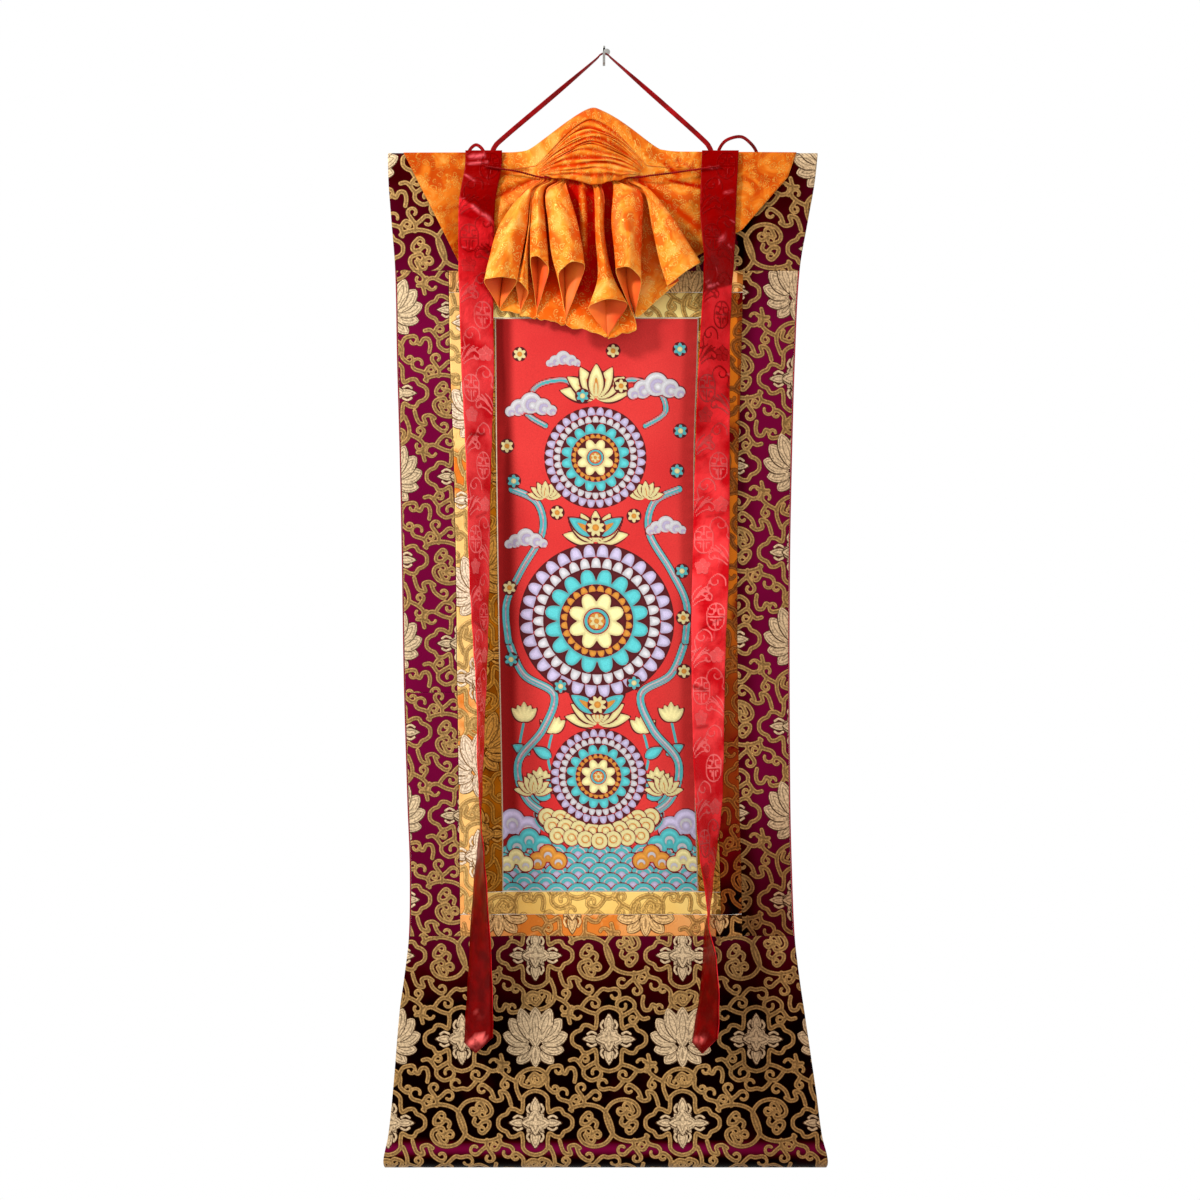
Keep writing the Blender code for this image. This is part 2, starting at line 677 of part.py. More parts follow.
def make_mount():
    """Brocade panels, gold borders, the painted cloth and the red edging."""
    brocade = material("wine brocade", (0.16, 0.004, 0.045), 0.5)
    outer_gold = material("orange gold brocade", (0.75, 0.36, 0.08), 0.45)
    inner_gold = material("yellow gold brocade", (0.72, 0.5, 0.13), 0.45)
    canvas = material("painted cloth", (0.75, 0.05, 0.06), 0.8)
    edging = material("red edging", (0.4, 0.01, 0.02), 0.6)

    half = SEAM / 2
    outer_left = lambda z: outline(EDGE_L, z)
    outer_right = lambda z: outline(EDGE_R, z)
    edge_left = lambda z: outer_left(z) + PIPING_W + SEAM
    edge_right = lambda z: outer_right(z) - PIPING_W - SEAM
    border_left = lambda z: outline(BORDER_L, z)
    border_right = lambda z: outline(BORDER_R, z)
    picture_left = lambda z: outline(PICTURE_L, z)
    picture_right = lambda z: outline(PICTURE_R, z)
    seam_left = lambda z: (border_left(z) + picture_left(z)) / 2
    seam_right = lambda z: (border_right(z) + picture_right(z)) / 2
    inside = lambda line, shift: lambda z: line(z) + shift

    # The top sleeve is the foot sleeve's section turned upside down
    top_axis = TOP_Z - (TOP_ROD_R + SEAM + BROCADE_T)
    section = sleeve_section(TOP_ROD_R, -top_axis, -TOP_SEAM_Z - half, 5, 10.0)
    sleeved_panel("brocade_top", [(behind, -z) for behind, z in section],
                  outer_left, outer_right, 8, brocade)
    foot_axis = FOOT_Z + FOOT_ROD_R + SEAM + BROCADE_T
    section = sleeve_section(FOOT_ROD_R, foot_axis, FOOT_SEAM_Z - half, 8, 12.0)
    sleeved_panel("brocade_foot", section, outer_left, outer_right, 10, brocade)

    side_top, side_foot = TOP_SEAM_Z - half, FOOT_SEAM_Z + half
    flat_panel("brocade_left_upper", edge_left, inside(border_left, -half),
               side_top, LEFT_JOIN_Z + half, 5, 8, BROCADE_T, brocade)
    flat_panel("brocade_left_lower", edge_left, inside(border_left, -half),
               LEFT_JOIN_Z - half, side_foot, 5, 5, BROCADE_T, brocade)
    flat_panel("brocade_right", inside(border_right, half), edge_right,
               side_top, side_foot, 5, 13, BROCADE_T, brocade)
    flat_panel("edging_left", outer_left, inside(edge_left, -SEAM),
               side_top, side_foot, 1, 13, BROCADE_T + 0.4, edging)
    flat_panel("edging_right", inside(edge_right, SEAM), outer_right,
               side_top, side_foot, 1, 13, BROCADE_T + 0.4, edging)

    outer_top, outer_foot = side_top - BORDER_W, side_foot + BORDER_W
    inner_top, inner_foot = PICTURE_TOP_Z + SEAM, PICTURE_FOOT_Z - SEAM
    flat_panel("outer_border_top", inside(border_left, half), inside(border_right, -half),
               side_top, outer_top + SEAM, 18, 2, BROCADE_T, outer_gold)
    flat_panel("outer_border_foot", inside(border_left, half), inside(border_right, -half),
               outer_foot - SEAM, side_foot, 18, 2, BROCADE_T, outer_gold)
    flat_panel("outer_border_left", inside(border_left, half), inside(seam_left, -half),
               outer_top, outer_foot, 2, 12, BROCADE_T, outer_gold)
    flat_panel("outer_border_right", inside(seam_right, half), inside(border_right, -half),
               outer_top, outer_foot, 2, 12, BROCADE_T, outer_gold)
    flat_panel("inner_border_top", inside(seam_left, half), inside(seam_right, -half),
               outer_top, inner_top, 16, 2, BROCADE_T, inner_gold)
    flat_panel("inner_border_foot", inside(seam_left, half), inside(seam_right, -half),
               inner_foot, outer_foot, 16, 2, BROCADE_T, inner_gold)
    flat_panel("inner_border_left", inside(seam_left, half), inside(picture_left, -half),
               PICTURE_TOP_Z, PICTURE_FOOT_Z, 2, 12, BROCADE_T, inner_gold)
    flat_panel("inner_border_right", inside(picture_right, half), inside(seam_right, -half),
               PICTURE_TOP_Z, PICTURE_FOOT_Z, 2, 12, BROCADE_T, inner_gold)
    flat_panel("painted_cloth", inside(picture_left, half), inside(picture_right, -half),
               PICTURE_TOP_Z, PICTURE_FOOT_Z, 12, 12, CANVAS_T, canvas)


def make_rods():
    wood = material("rod wood", (0.32, 0.17, 0.08), 0.6)
    for name, radius, height, toward_back in (
            ("top_rod", TOP_ROD_R, TOP_Z - (TOP_ROD_R + SEAM + BROCADE_T), TOP_Y),
            ("foot_rod", FOOT_ROD_R, FOOT_Z + FOOT_ROD_R + SEAM + BROCADE_T, FOOT_Y)):
        y = toward_back + radius + SEAM + BROCADE_T / 2
        rod(name, outline(EDGE_L, height) + ROD_END, outline(EDGE_R, height) - ROD_END,
            y, height, radius - 0.1, wood)


def make_hook():
    """Narrow steel strip bent up into a lip, and the nail that holds it."""
    steel = material("hook steel", (0.55, 0.53, 0.5), 0.35, 1.0)
    front, back = [], []
    last = len(HOOK_SECTION) - 1
    for i, (y, z) in enumerate(HOOK_SECTION):
        ahead, behind = HOOK_SECTION[min(i + 1, last)], HOOK_SECTION[max(i - 1, 0)]
        run = Vector((ahead[0] - behind[0], ahead[1] - behind[1])).normalized()
        out = Vector((run.y, -run.x)) * HOOK_T / 2
        for side, sign in ((front, 1), (back, -1)):
            side.append([(x, y + sign * out.x, z + sign * out.y)
                         for x in (-HOOK_W / 2, HOOK_W / 2)])
    closed_sheet("wall_hook", front, back, steel)

    bm = bmesh.new()
    profile = [(0.0, 0.0), (NAIL_SHANK_R, 0.0), (NAIL_SHANK_R, NAIL_OUT - NAIL_HEAD_T),
               (NAIL_HEAD_R, NAIL_OUT - NAIL_HEAD_T), (NAIL_HEAD_R, NAIL_OUT - 0.2),
               (NAIL_HEAD_R - 0.6, NAIL_OUT), (0.0, NAIL_OUT)]
    points = [bm.verts.new((r * MM, 0.0, h * MM)) for r, h in profile]
    for a, b in zip(points, points[1:]):
        bm.edges.new((a, b))
    mesh = bpy.data.meshes.new("hook_nail")
    bm.to_mesh(mesh)
    bm.free()
    nail = add_object("hook_nail", mesh, steel)
    nail.rotation_euler = (math.radians(90), 0.0, 0.0)
    nail.location = Vector((NAIL_X, 0.0, NAIL_Z)) * MM
    turn = nail.modifiers.new("turned shape", "SCREW")
    turn.steps = turn.render_steps = 14
    turn.use_merge_vertices = True
    turn.merge_threshold = 0.00001
    turn.use_normal_calculate = True


def make_ribbons():
    red = material("red ribbon silk", (0.62, 0.012, 0.018), 0.32)
    dark_red = material("hanging ribbon", (0.42, 0.006, 0.01), 0.45)
    hanging_ribbon("ribbon_left", RIBBON_LEFT, red)
    hanging_ribbon("ribbon_right", RIBBON_RIGHT, red)
    narrow_strip("hanging_ribbon", HANGER_ROUTE, HANGER_W, HANGER_T, dark_red, 2)
    narrow_strip("loop_left", LOOP_LEFT, LOOP_W, LOOP_T, dark_red, 2)
    narrow_strip("loop_right", LOOP_RIGHT, LOOP_W, LOOP_T, dark_red, 2)
    tube("tie_cord", CORD_ROUTE, CORD_D, dark_red)


for old in list(bpy.data.objects):
    bpy.data.objects.remove(old, do_unlink=True)
scroll = bpy.data.collections.new("thangka_scroll")
bpy.context.scene.collection.children.link(scroll)

make_mount()
make_rods()
make_hook()
make_ribbons()
make_veil(material("orange veil silk", (0.8, 0.23, 0.03), 0.4))
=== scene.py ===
"""Looks of the thangka scroll painting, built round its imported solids.

Lengths in the tables are in millimetres.  The frame's origin is the back of the wall
hook: +Z is up and the picture faces -Y.
"""
import math

import bmesh
import bpy
import numpy as np
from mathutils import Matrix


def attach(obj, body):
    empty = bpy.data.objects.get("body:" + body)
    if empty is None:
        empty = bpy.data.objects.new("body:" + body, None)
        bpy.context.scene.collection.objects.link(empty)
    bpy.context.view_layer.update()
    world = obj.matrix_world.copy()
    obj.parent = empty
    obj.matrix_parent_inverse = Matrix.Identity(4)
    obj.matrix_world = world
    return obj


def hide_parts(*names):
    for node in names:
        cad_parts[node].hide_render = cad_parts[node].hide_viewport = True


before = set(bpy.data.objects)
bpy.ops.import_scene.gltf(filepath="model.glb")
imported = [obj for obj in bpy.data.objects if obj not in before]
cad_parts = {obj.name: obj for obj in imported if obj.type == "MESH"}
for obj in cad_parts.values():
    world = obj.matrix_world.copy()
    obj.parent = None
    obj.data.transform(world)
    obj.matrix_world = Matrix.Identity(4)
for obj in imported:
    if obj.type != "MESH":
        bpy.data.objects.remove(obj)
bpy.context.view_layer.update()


# Wall hook: a narrow steel strip, bent up at its foot into the lip that carries the
# hanging ribbon.  The head of a nail beside it holds the strip's edge to the wall.

def new_material(name):
    """A material with only its Principled shader: the material, its tree, the shader."""
    mat = bpy.data.materials.new(name)
    mat.use_nodes = True
    return mat, mat.node_tree, mat.node_tree.nodes["Principled BSDF"]


def plug(tree, node, inputs):
    """Sets a node's inputs to plain values or to other nodes' sockets."""
    for slot, value in dict(inputs).items():
        if isinstance(value, bpy.types.NodeSocket):
            tree.links.new(value, node.inputs[slot])
        else:
            node.inputs[slot].default_value = value


def wire(tree, kind, inputs=(), **settings):
    """Adds a shader node with its settings and inputs."""
    made = tree.nodes.new("ShaderNode" + kind)
    for key, value in settings.items():
        setattr(made, key, value)
    plug(tree, made, inputs)
    return made


def noise(tree, scale, detail=2.0, distortion=0.0):
    """Uneven grey over the piece's own coordinates, its features 1 / scale metres wide."""
    return wire(tree, "TexNoise", {"Vector": wire(tree, "TexCoord").outputs["Object"],
                                   "Scale": scale, "Detail": detail,
                                   "Distortion": distortion}).outputs[0]


def spread(tree, value, low, high, at_low=0.0, at_high=1.0):
    """Values from low to high, spread evenly from one value to another."""
    return wire(tree, "MapRange", {0: value, 1: low, 2: high, 3: at_low, 4: at_high}).outputs[0]


def rgb(*values):
    """Linear colour of a surface that looks like these values of 0 to 255 in full light."""
    parts = [v / 255 for v in values]
    linear = [p / 12.92 if p <= 0.04045 else ((p + 0.055) / 1.055) ** 2.4 for p in parts]
    return (*(0.8 * p for p in linear), 1.0)


def smooth_at(piece, degrees):
    """Smooth shading, with edges sharper than the angle kept crisp."""
    bpy.ops.object.select_all(action="DESELECT")
    bpy.context.view_layer.objects.active = piece
    piece.select_set(True)
    bpy.ops.object.shade_smooth_by_angle(angle=math.radians(degrees))


def apply_modifier(piece, kind, **settings):
    """Adds a modifier with its settings and applies it."""
    bpy.ops.object.select_all(action="DESELECT")
    bpy.context.view_layer.objects.active = piece
    piece.select_set(True)
    made = piece.modifiers.new(kind.lower(), kind)
    for key, value in settings.items():
        setattr(made, key, value)
    bpy.ops.object.modifier_apply(modifier=made.name)


def fit(piece, node):
    """Puts a piece in its solid's place: it joins the root body and the solid is hidden."""
    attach(piece, "root")
    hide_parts(node)


steel, tree, shader = new_material("hook steel")
plug(tree, shader, {"Base Color": rgb(178, 177, 172), "Metallic": 1.0,
                    "Roughness": spread(tree, noise(tree, 900.0), 0.0, 1.0, 0.28, 0.5)})

HOOK_STEPS = [
    # step out from the wall, step up, bend in degrees
    (0.0, -2.0, 0), (0.3, -2.2, 24), (1.3, -1.6, 28), (2.3, -0.5, 30), (2.5, 1.0, 22),
    (2.3, 1.6, 12), (2.4, 1.9, 4), (1.6, 2.6, 24), (0.8, 2.8, 8),
]
bpy.ops.object.select_all(action="DESELECT")
bpy.ops.mesh.primitive_cube_add(size=1, location=(0, -0.0006, 0.0032))
hook = bpy.context.object
hook.name = hook.data.name = "hook_strip"
hook.scale = (0.003, 0.0012, 0.0136)
bpy.ops.object.transform_apply(location=True, rotation=True, scale=True)
for face in hook.data.polygons:
    face.select = face.normal.z < -0.9
bpy.ops.object.mode_set(mode="EDIT")
bpy.ops.mesh.select_mode(type="FACE")
place = [0.0, -0.0006, -0.0036]
for out, up, bend in HOOK_STEPS:
    bpy.ops.mesh.extrude_region_move(
        TRANSFORM_OT_translate={"value": (0, -out / 1000, up / 1000)})
    place = [0.0, place[1] - out / 1000, place[2] + up / 1000]
    bpy.ops.transform.rotate(value=math.radians(bend), orient_axis="X",
                             center_override=place)
bpy.ops.object.mode_set(mode="OBJECT")
apply_modifier(hook, "BEVEL", width=0.0003, segments=3)
smooth_at(hook, 40)
hook.data.materials.append(steel)
fit(hook, "wall_hook")

bpy.ops.object.select_all(action="DESELECT")
bpy.ops.mesh.primitive_cylinder_add(vertices=48, radius=0.004, depth=0.0009,
                                    location=(0.0034, -0.00195, 0.0022),
                                    rotation=(math.radians(90), 0, 0))
nail = bpy.context.object
nail.name = nail.data.name = "hook_nail_head"
bpy.ops.object.transform_apply(location=True, rotation=True, scale=True)
for face in nail.data.polygons:
    face.select = face.normal.y > 0.9
bpy.ops.object.mode_set(mode="EDIT")
bpy.ops.mesh.select_mode(type="FACE")
bpy.ops.mesh.inset(thickness=0.0031, depth=0)
bpy.ops.mesh.extrude_region_move(TRANSFORM_OT_translate={"value": (0, 0.0015, 0)})
bpy.ops.object.mode_set(mode="OBJECT")
apply_modifier(nail, "BEVEL", width=0.00028, segments=3, angle_limit=math.radians(50))
smooth_at(nail, 40)
nail.data.materials.append(steel)
fit(nail, "hook_nail")


# Rods: plain turned softwood, pushed into the sleeves that the top and foot panels make.
# Their ends stay inside the cloth, with no knobs.

def blend(tree, amount, low, high, kind="MIX"):
    """Colour mix of two colours or sockets."""
    return wire(tree, "Mix", {0: amount, 6: low, 7: high}, data_type="RGBA",
                blend_type=kind).outputs[2]


wood, tree, shader = new_material("rod wood")
along = wire(tree, "Mapping", {0: wire(tree, "TexCoord").outputs["Object"], 3: (2.0, 60.0, 60.0)})
figure = wire(tree, "TexNoise", {"Vector": along.outputs[0], "Scale": 4.0, "Detail": 5.0})
tone = blend(tree, spread(tree, figure.outputs[0], 0.35, 0.65), rgb(120, 78, 44),
             rgb(196, 150, 100))
plug(tree, shader, {"Base Color": tone, "Roughness": 0.55})
for name in ("top_rod", "foot_rod"):
    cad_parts[name].data.materials.clear()
    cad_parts[name].data.materials.append(wood)


# Brocade panels: wine silk with clouds, rings, lotuses and crosses in raised gold thread.
# The top and foot panels are turned back round the rods, and the left one is pieced.

OUTLINE = [
    # height, edge left, border left, picture left, picture right, border right, edge right
    (-110.0, -259.6, -186.6, -132.0, 115.0, 167.0, 258.0),
    (-160.0, -258.4, -186.4, -131.8, 114.9, 166.9, 252.6),
    (-205.0, -255.0, -186.2, -131.6, 114.8, 166.9, 244.6),
    (-265.0, -250.4, -186.0, -131.5, 114.7, 166.8, 234.6),
    (-372.0, -248.0, -184.4, -130.5, 112.2, 164.6, 228.8),
    (-480.0, -244.8, -180.3, -129.6, 108.8, 161.4, 225.4),
    (-612.0, -241.9, -177.3, -127.9, 108.6, 159.7, 222.8),
    (-751.0, -239.6, -175.6, -125.5, 109.2, 160.3, 222.0),
    (-900.0, -235.2, -173.4, -122.6, 110.0, 162.1, 222.8),
    (-979.0, -232.2, -172.5, -121.8, 112.0, 164.3, 224.6),
    (-1062.0, -233.2, -171.7, -121.6, 114.2, 165.4, 228.0),
    (-1110.0, -238.6, -171.7, -121.6, 114.2, 165.4, 233.4),
    (-1152.0, -244.4, -171.7, -121.6, 114.2, 165.4, 239.6),
    (-1248.0, -252.4, -171.7, -121.6, 114.2, 165.4, 253.6),
    (-1300.0, -258.0, -171.7, -121.6, 114.2, 165.4, 260.6),
    (-1328.0, -263.6, -171.7, -121.6, 114.2, 165.4, 267.4),
    (-1350.0, -264.2, -171.7, -121.6, 114.2, 165.4, 268.0),
]
EDGE_L, BORDER_L, PICTURE_L, PICTURE_R, BORDER_R, EDGE_R = range(1, 7)
FOLDS = [
    # seam it follows, distance from that seam, rise, half width
    (BORDER_L, 25.5, 6.0, 17.0),
    (PICTURE_L, 9.0, -3.0, 12.0),
    (PICTURE_R, 25.5, 5.0, 16.0),
    (BORDER_R, 5.0, -3.5, 12.0),
    (EDGE_L, 6.0, 3.0, 20.0),
    (EDGE_R, -6.0, 2.5, 20.0),
]
TOP_Z, TOP_SEAM_Z, LEFT_JOIN_Z, FOOT_SEAM_Z, FOOT_Z = -122.4, -265.2, -771.0, -1062.0, -1341.6
HALF_SEAM = 0.03
CLOTH_T = 1.5
PANEL_CELL, FOOT_CELL, TOP_CELL = 1.3, 1.6, 1.8
ROD_PLAY, SLEEVE_T = 0.3, 1.6


def value_at(table, column, height):
    """Smooth values of a table's column at an array of heights that run downwards."""
    rows = np.array(table, float)
    where = np.clip(height, rows[-1, 0], rows[0, 0])
    i = np.clip(np.searchsorted(-rows[:, 0], -where, side="right") - 1, 0, len(rows) - 2)
    before, after = np.maximum(i - 1, 0), np.minimum(i + 2, len(rows) - 1)
    span = rows[i + 1, 0] - rows[i, 0]
    t = (where - rows[i, 0]) / span
    value = rows[:, column]
    slope_a = (value[i + 1] - value[before]) / (rows[i + 1, 0] - rows[before, 0]) * span
    slope_b = (value[after] - value[i]) / (rows[after, 0] - rows[i, 0]) * span
    return ((2 * t**3 - 3 * t**2 + 1) * value[i] + (t**3 - 2 * t**2 + t) * slope_a
            + (3 * t**2 - 2 * t**3) * value[i + 1] + (t**3 - t**2) * slope_b)


def ease(t):
    t = np.clip(t, 0.0, 1.0)
    return t * t * (3 - 2 * t)


def outline(column):
    return lambda z: value_at(OUTLINE, column, z)


def shifted(line, amount):
    return lambda z: line(z) + amount


def cloth_y(x, z):
    """Depth of the hanging cloth's middle: its upright folds, ripples and puckers."""
    grow = ease((-265 - z) / 185)
    fade = 1 - ease((-1000 - z) / 240)
    rise = 1.1 * np.sin(z / 95 + x / 60) * np.cos(x / 80 - z / 210)
    for seam, distance, crest, half_width in FOLDS:
        rise = rise + crest * np.exp(-((x - outline(seam)(z) - distance) / half_width) ** 2)
    slack = 0.35 * np.sin(z / 31 + np.sin(x / 47) * 2) * np.sin(x / 23 - z / 140)
    for seam in (BORDER_L, BORDER_R, PICTURE_L, PICTURE_R):
        near = np.exp(-((x - outline(seam)(z)) / 7) ** 2)
        slack = slack + 0.3 * near * np.sin(z / 2.6 + 3 * np.sin(z / 41))
    lean = -20.0 - 9.6 * np.clip((TOP_Z - z) / (TOP_Z + 1310.0), 0.0, 1.0)
    return lean - rise * grow * fade - slack * ease((-150 - z) / 60) * ease((z + 1290) / 40)


def surface_normals(points):
    """Normals of a grid whose rows run down and columns to the right, facing the viewer."""
    down, right = np.gradient(points, axis=0), np.gradient(points, axis=1)
    normal = np.cross(down, right)
    return normal / np.maximum(np.linalg.norm(normal, axis=2, keepdims=True), 1e-9)


def make_cloth(name, points, thickness, step, fields, materials):
    """Closed sheet in one mesh: a fine face, a coarser reverse, and a rim between them.

    The points are millimetres, the fields one value a point, kept as attributes.
    """
    rows, columns = points.shape[:2]
    back_i = np.unique(np.r_[np.arange(0, rows, step), rows - 1])
    back_j = np.unique(np.r_[np.arange(0, columns, step), columns - 1])
    reverse = (points - surface_normals(points) * thickness)[np.ix_(back_i, back_j)]
    front_at = np.arange(rows * columns).reshape(rows, columns)
    back_at = rows * columns + np.arange(reverse.shape[0] * reverse.shape[1])
    back_at = back_at.reshape(reverse.shape[:2])

    def quads(at, order):
        corners = (at[:-1, :-1], at[1:, :-1], at[1:, 1:], at[:-1, 1:])
        return np.stack([corners[k] for k in order], axis=-1).reshape(-1, 4)

    front, back = quads(front_at, (0, 1, 2, 3)), quads(back_at, (0, 3, 2, 1))
    rim = []
    for line_f, line_b, picks, flip in (
            (front_at[0], back_at[0], back_j, False), (front_at[-1], back_at[-1], back_j, True),
            (front_at[:, 0], back_at[:, 0], back_i, True),
            (front_at[:, -1], back_at[:, -1], back_i, False)):
        for k in range(len(picks) - 1):
            face = list(line_f[picks[k]:picks[k + 1] + 1]) + [line_b[k + 1], line_b[k]]
            rim.append(face[::-1] if flip else face)
    loops = np.concatenate([front.ravel(), back.ravel()] + [np.array(f) for f in rim])
    sizes = np.concatenate([np.full(len(front) + len(back), 4), [len(f) for f in rim]])
    mesh = bpy.data.meshes.new(name)
    every = np.concatenate([points.reshape(-1, 3), reverse.reshape(-1, 3)]) / 1000
    mesh.vertices.add(len(every))
    mesh.vertices.foreach_set("co", every.ravel())
    mesh.loops.add(len(loops))
    mesh.loops.foreach_set("vertex_index", loops.astype(np.int32))
    mesh.polygons.add(len(sizes))
    starts = np.concatenate([[0], np.cumsum(sizes)[:-1]]).astype(np.int32)
    mesh.polygons.foreach_set("loop_start", starts)
    for mat in materials:
        mesh.materials.append(mat)
    slots = np.zeros(len(sizes), np.int32)
    slots[len(front):len(front) + len(back)] = len(materials) - 1
    mesh.polygons.foreach_set("material_index", slots)
    mesh.update(calc_edges=True)
    for field, values in fields.items():
        data = np.concatenate([values.ravel(), values[np.ix_(back_i, back_j)].ravel()])
        mesh.attributes.new(field, "FLOAT", "POINT").data.foreach_set(
            "value", data.astype(np.float32))
    mesh.shade_smooth()
    piece = bpy.data.objects.new(name, mesh)
    bpy.context.scene.collection.objects.link(piece)
    return piece


TILE_W, TILE_H = 175.8, 200.0
CELL = 0.5
UNIT = 1.2          # the charts below count in threads of 1.2 mm
REACH = 7.0         # distances are kept up to this far from a motif

# Each band runs through its points and ends in a curl: a plus radius turns left.  The
# chart's middle is a cross, and each band is woven twice, once turned half round it.
CLOUD_BANDS = [
    ([(-12, 25), (-20, 27), (-28, 31)], 6),
    ([(-35, 22), (-41, 24), (-46, 24)], 0),
    ([(-41, 24), (-40, 29), (-37, 32)], 0),
    ([(-41, 24), (-40, 20), (-39, 16)], 0),
    ([(-28, 31), (-24, 37), (-19, 41), (-13, 40)], -4),
    ([(-15, 41), (-11, 46), (-6, 50), (-1, 49), (4, 50)], -5),
    ([(-12, -22), (-19, -26), (-25, -29), (-30, -23), (-34, -20), (-39, -21)], 0),
    ([(-30, -23), (-27, -18)], -3),
    ([(-25, -29), (-25, -36), (-18, -41), (-11, -39)], 5),
]
# The same for the pair of rings half a repeat above the cross, counted from their middle
RING_BANDS = [
    ([(-38.9, 13.3), (-31.9, 16.8), (-20.6, 18.2), (-9.4, 15.4), (-2.4, 9.1), (2.5, -2.1),
      (3.2, -11.2), (-3.8, -20.3), (-15, -23.4), (-24.8, -20.3), (-29.7, -13.3),
      (-28.3, -7.7), (-22, -4.9)], -3),
    ([(-13, -4), (-12, 0), (-16, 3), (-21, -1), (-27, -1), (-27, 4), (-23, 9)], -3),
    ([(-24, -12), (-21, -18)], 2.6),
    ([(-18, -12), (-14, -9)], -2.6),
    ([(-37, 12), (-39, 20), (-47, 23)], -5.5),
    ([(-39, 20), (-36, 25)], -2.8),
    ([(-25, 17), (-25, 23), (-28, 28), (-31, 32)], -4),
    ([(-25, 23), (-20, 27), (-17, 30)], -4.5),
    ([(-49, -18), (-47, -25), (-44, -30), (-38, -31), (-40, -24), (-34, -22), (-29, -25)], 0),
    ([(-32, -25), (-29, -32), (-23, -37)], 4),
]
# And for the loop over the cross between two pairs of rings, counted from that cross
LOOP_BANDS = [
    ([(-15, 24), (-19, 35), (-18, 45), (-10, 52), (0, 54), (8, 51), (12, 45), (12, 36),
      (17, 31)], 3),
    ([(-12, 46), (-14, 39), (-8, 36)], 3),
    ([(-6, 44), (-1, 49), (4, 46)], -2.6),
    ([(-3, 38), (4, 37), (9, 41)], 3),
    ([(11, 48), (15, 55), (22, 57)], -4),
    ([(26, 51), (30, 49), (33, 54), (38, 54), (40, 48), (39, 41)], 0),
    ([(-19, 41), (-27, 45), (-32, 49)], -4),
    ([(-29, 46), (-33, 40)], 3),
]
# A quarter of the wavy frame round each cross
CROSS_FRAME = [(0, 32), (7, 30), (12, 25), (12.4, 17), (14, 10.5), (20, 13.5), (25.5, 13.5),
               (28.5, 9), (33, 7), (36.5, 3.6), (37, 0)]
# Petals as (root across, root up, tip across, tip up, half width)
CROSS_PETALS = [
    (0, 7, 0, 26, 5.2), (9, 0, 27, 0, 4.2), (-8, -9, 9, 10, 5.5), (8, -9, -9, 10, 5.5),
    (-14, 0, 14, 0, 7.5), (0, -13, 0, 13, 7.0),
]
CROSS_SEPALS = [[(6.4, 10), (8.2, 14), (5.8, 18.5)], [(-6.4, 10), (-8.2, 14), (-5.8, 18.5)],
                [(13, 5.4), (17.5, 7.2), (21.5, 5)], [(13, -5.4), (17.5, -7.2), (21.5, -5)]]
LOTUS_PETALS = [
    (4, -2, 15, 30.5, 7.8), (6, -3, 26, 20, 8.2), (7, -5, 32, 5, 8.0), (5, -8, 28.5, -11, 7.0),
    (2, -9, 18, -24, 6.6),
]
LOTUS_HEART = [(0, -28, 0, -4, 6.0), (0, -8, 0, 32, 8.4), (0, -8, 0, 13, 7.0)]


def through(points, spacing=1.0):
    """Points along a smooth curve through the given ones."""
    p = np.array(points, float)
    out = []
    for i in range(len(p) - 1):
        a, b, c, d = p[max(i - 1, 0)], p[i], p[i + 1], p[min(i + 2, len(p) - 1)]
        count = max(2, int(np.linalg.norm(c - b) / spacing))
        t = (np.arange(count) / count)[:, None]
        out.append(0.5 * (2 * b + (c - a) * t + (2 * a - 5 * b + 4 * c - d) * t**2
                          + (3 * b - a - 3 * c + d) * t**3))
    return np.vstack(out + [p[-1:]])


def with_curl(points, radius):
    """The smooth curve, wound inwards at its end for about two thirds of a turn."""
    line = through(points)
    if not radius:
        return line
    radius = math.copysign(max(abs(radius) * 1.12, 3.7), radius)
    heading = line[-1] - line[-3]
    heading = heading / np.linalg.norm(heading)
    side = np.array([-heading[1], heading[0]]) * radius
    angle = np.linspace(0, math.radians(262), 26)[1:, None] * math.copysign(1, radius)
    shrink = 1 - 0.42 * np.linspace(0, 1, 26)[1:, None] ** 2
    middle = line[-1] + side
    arm = -side
    turned = np.hstack([arm[0] * np.cos(angle) - arm[1] * np.sin(angle),
                        arm[0] * np.sin(angle) + arm[1] * np.cos(angle)])
    return np.vstack([line, middle + turned * shrink])


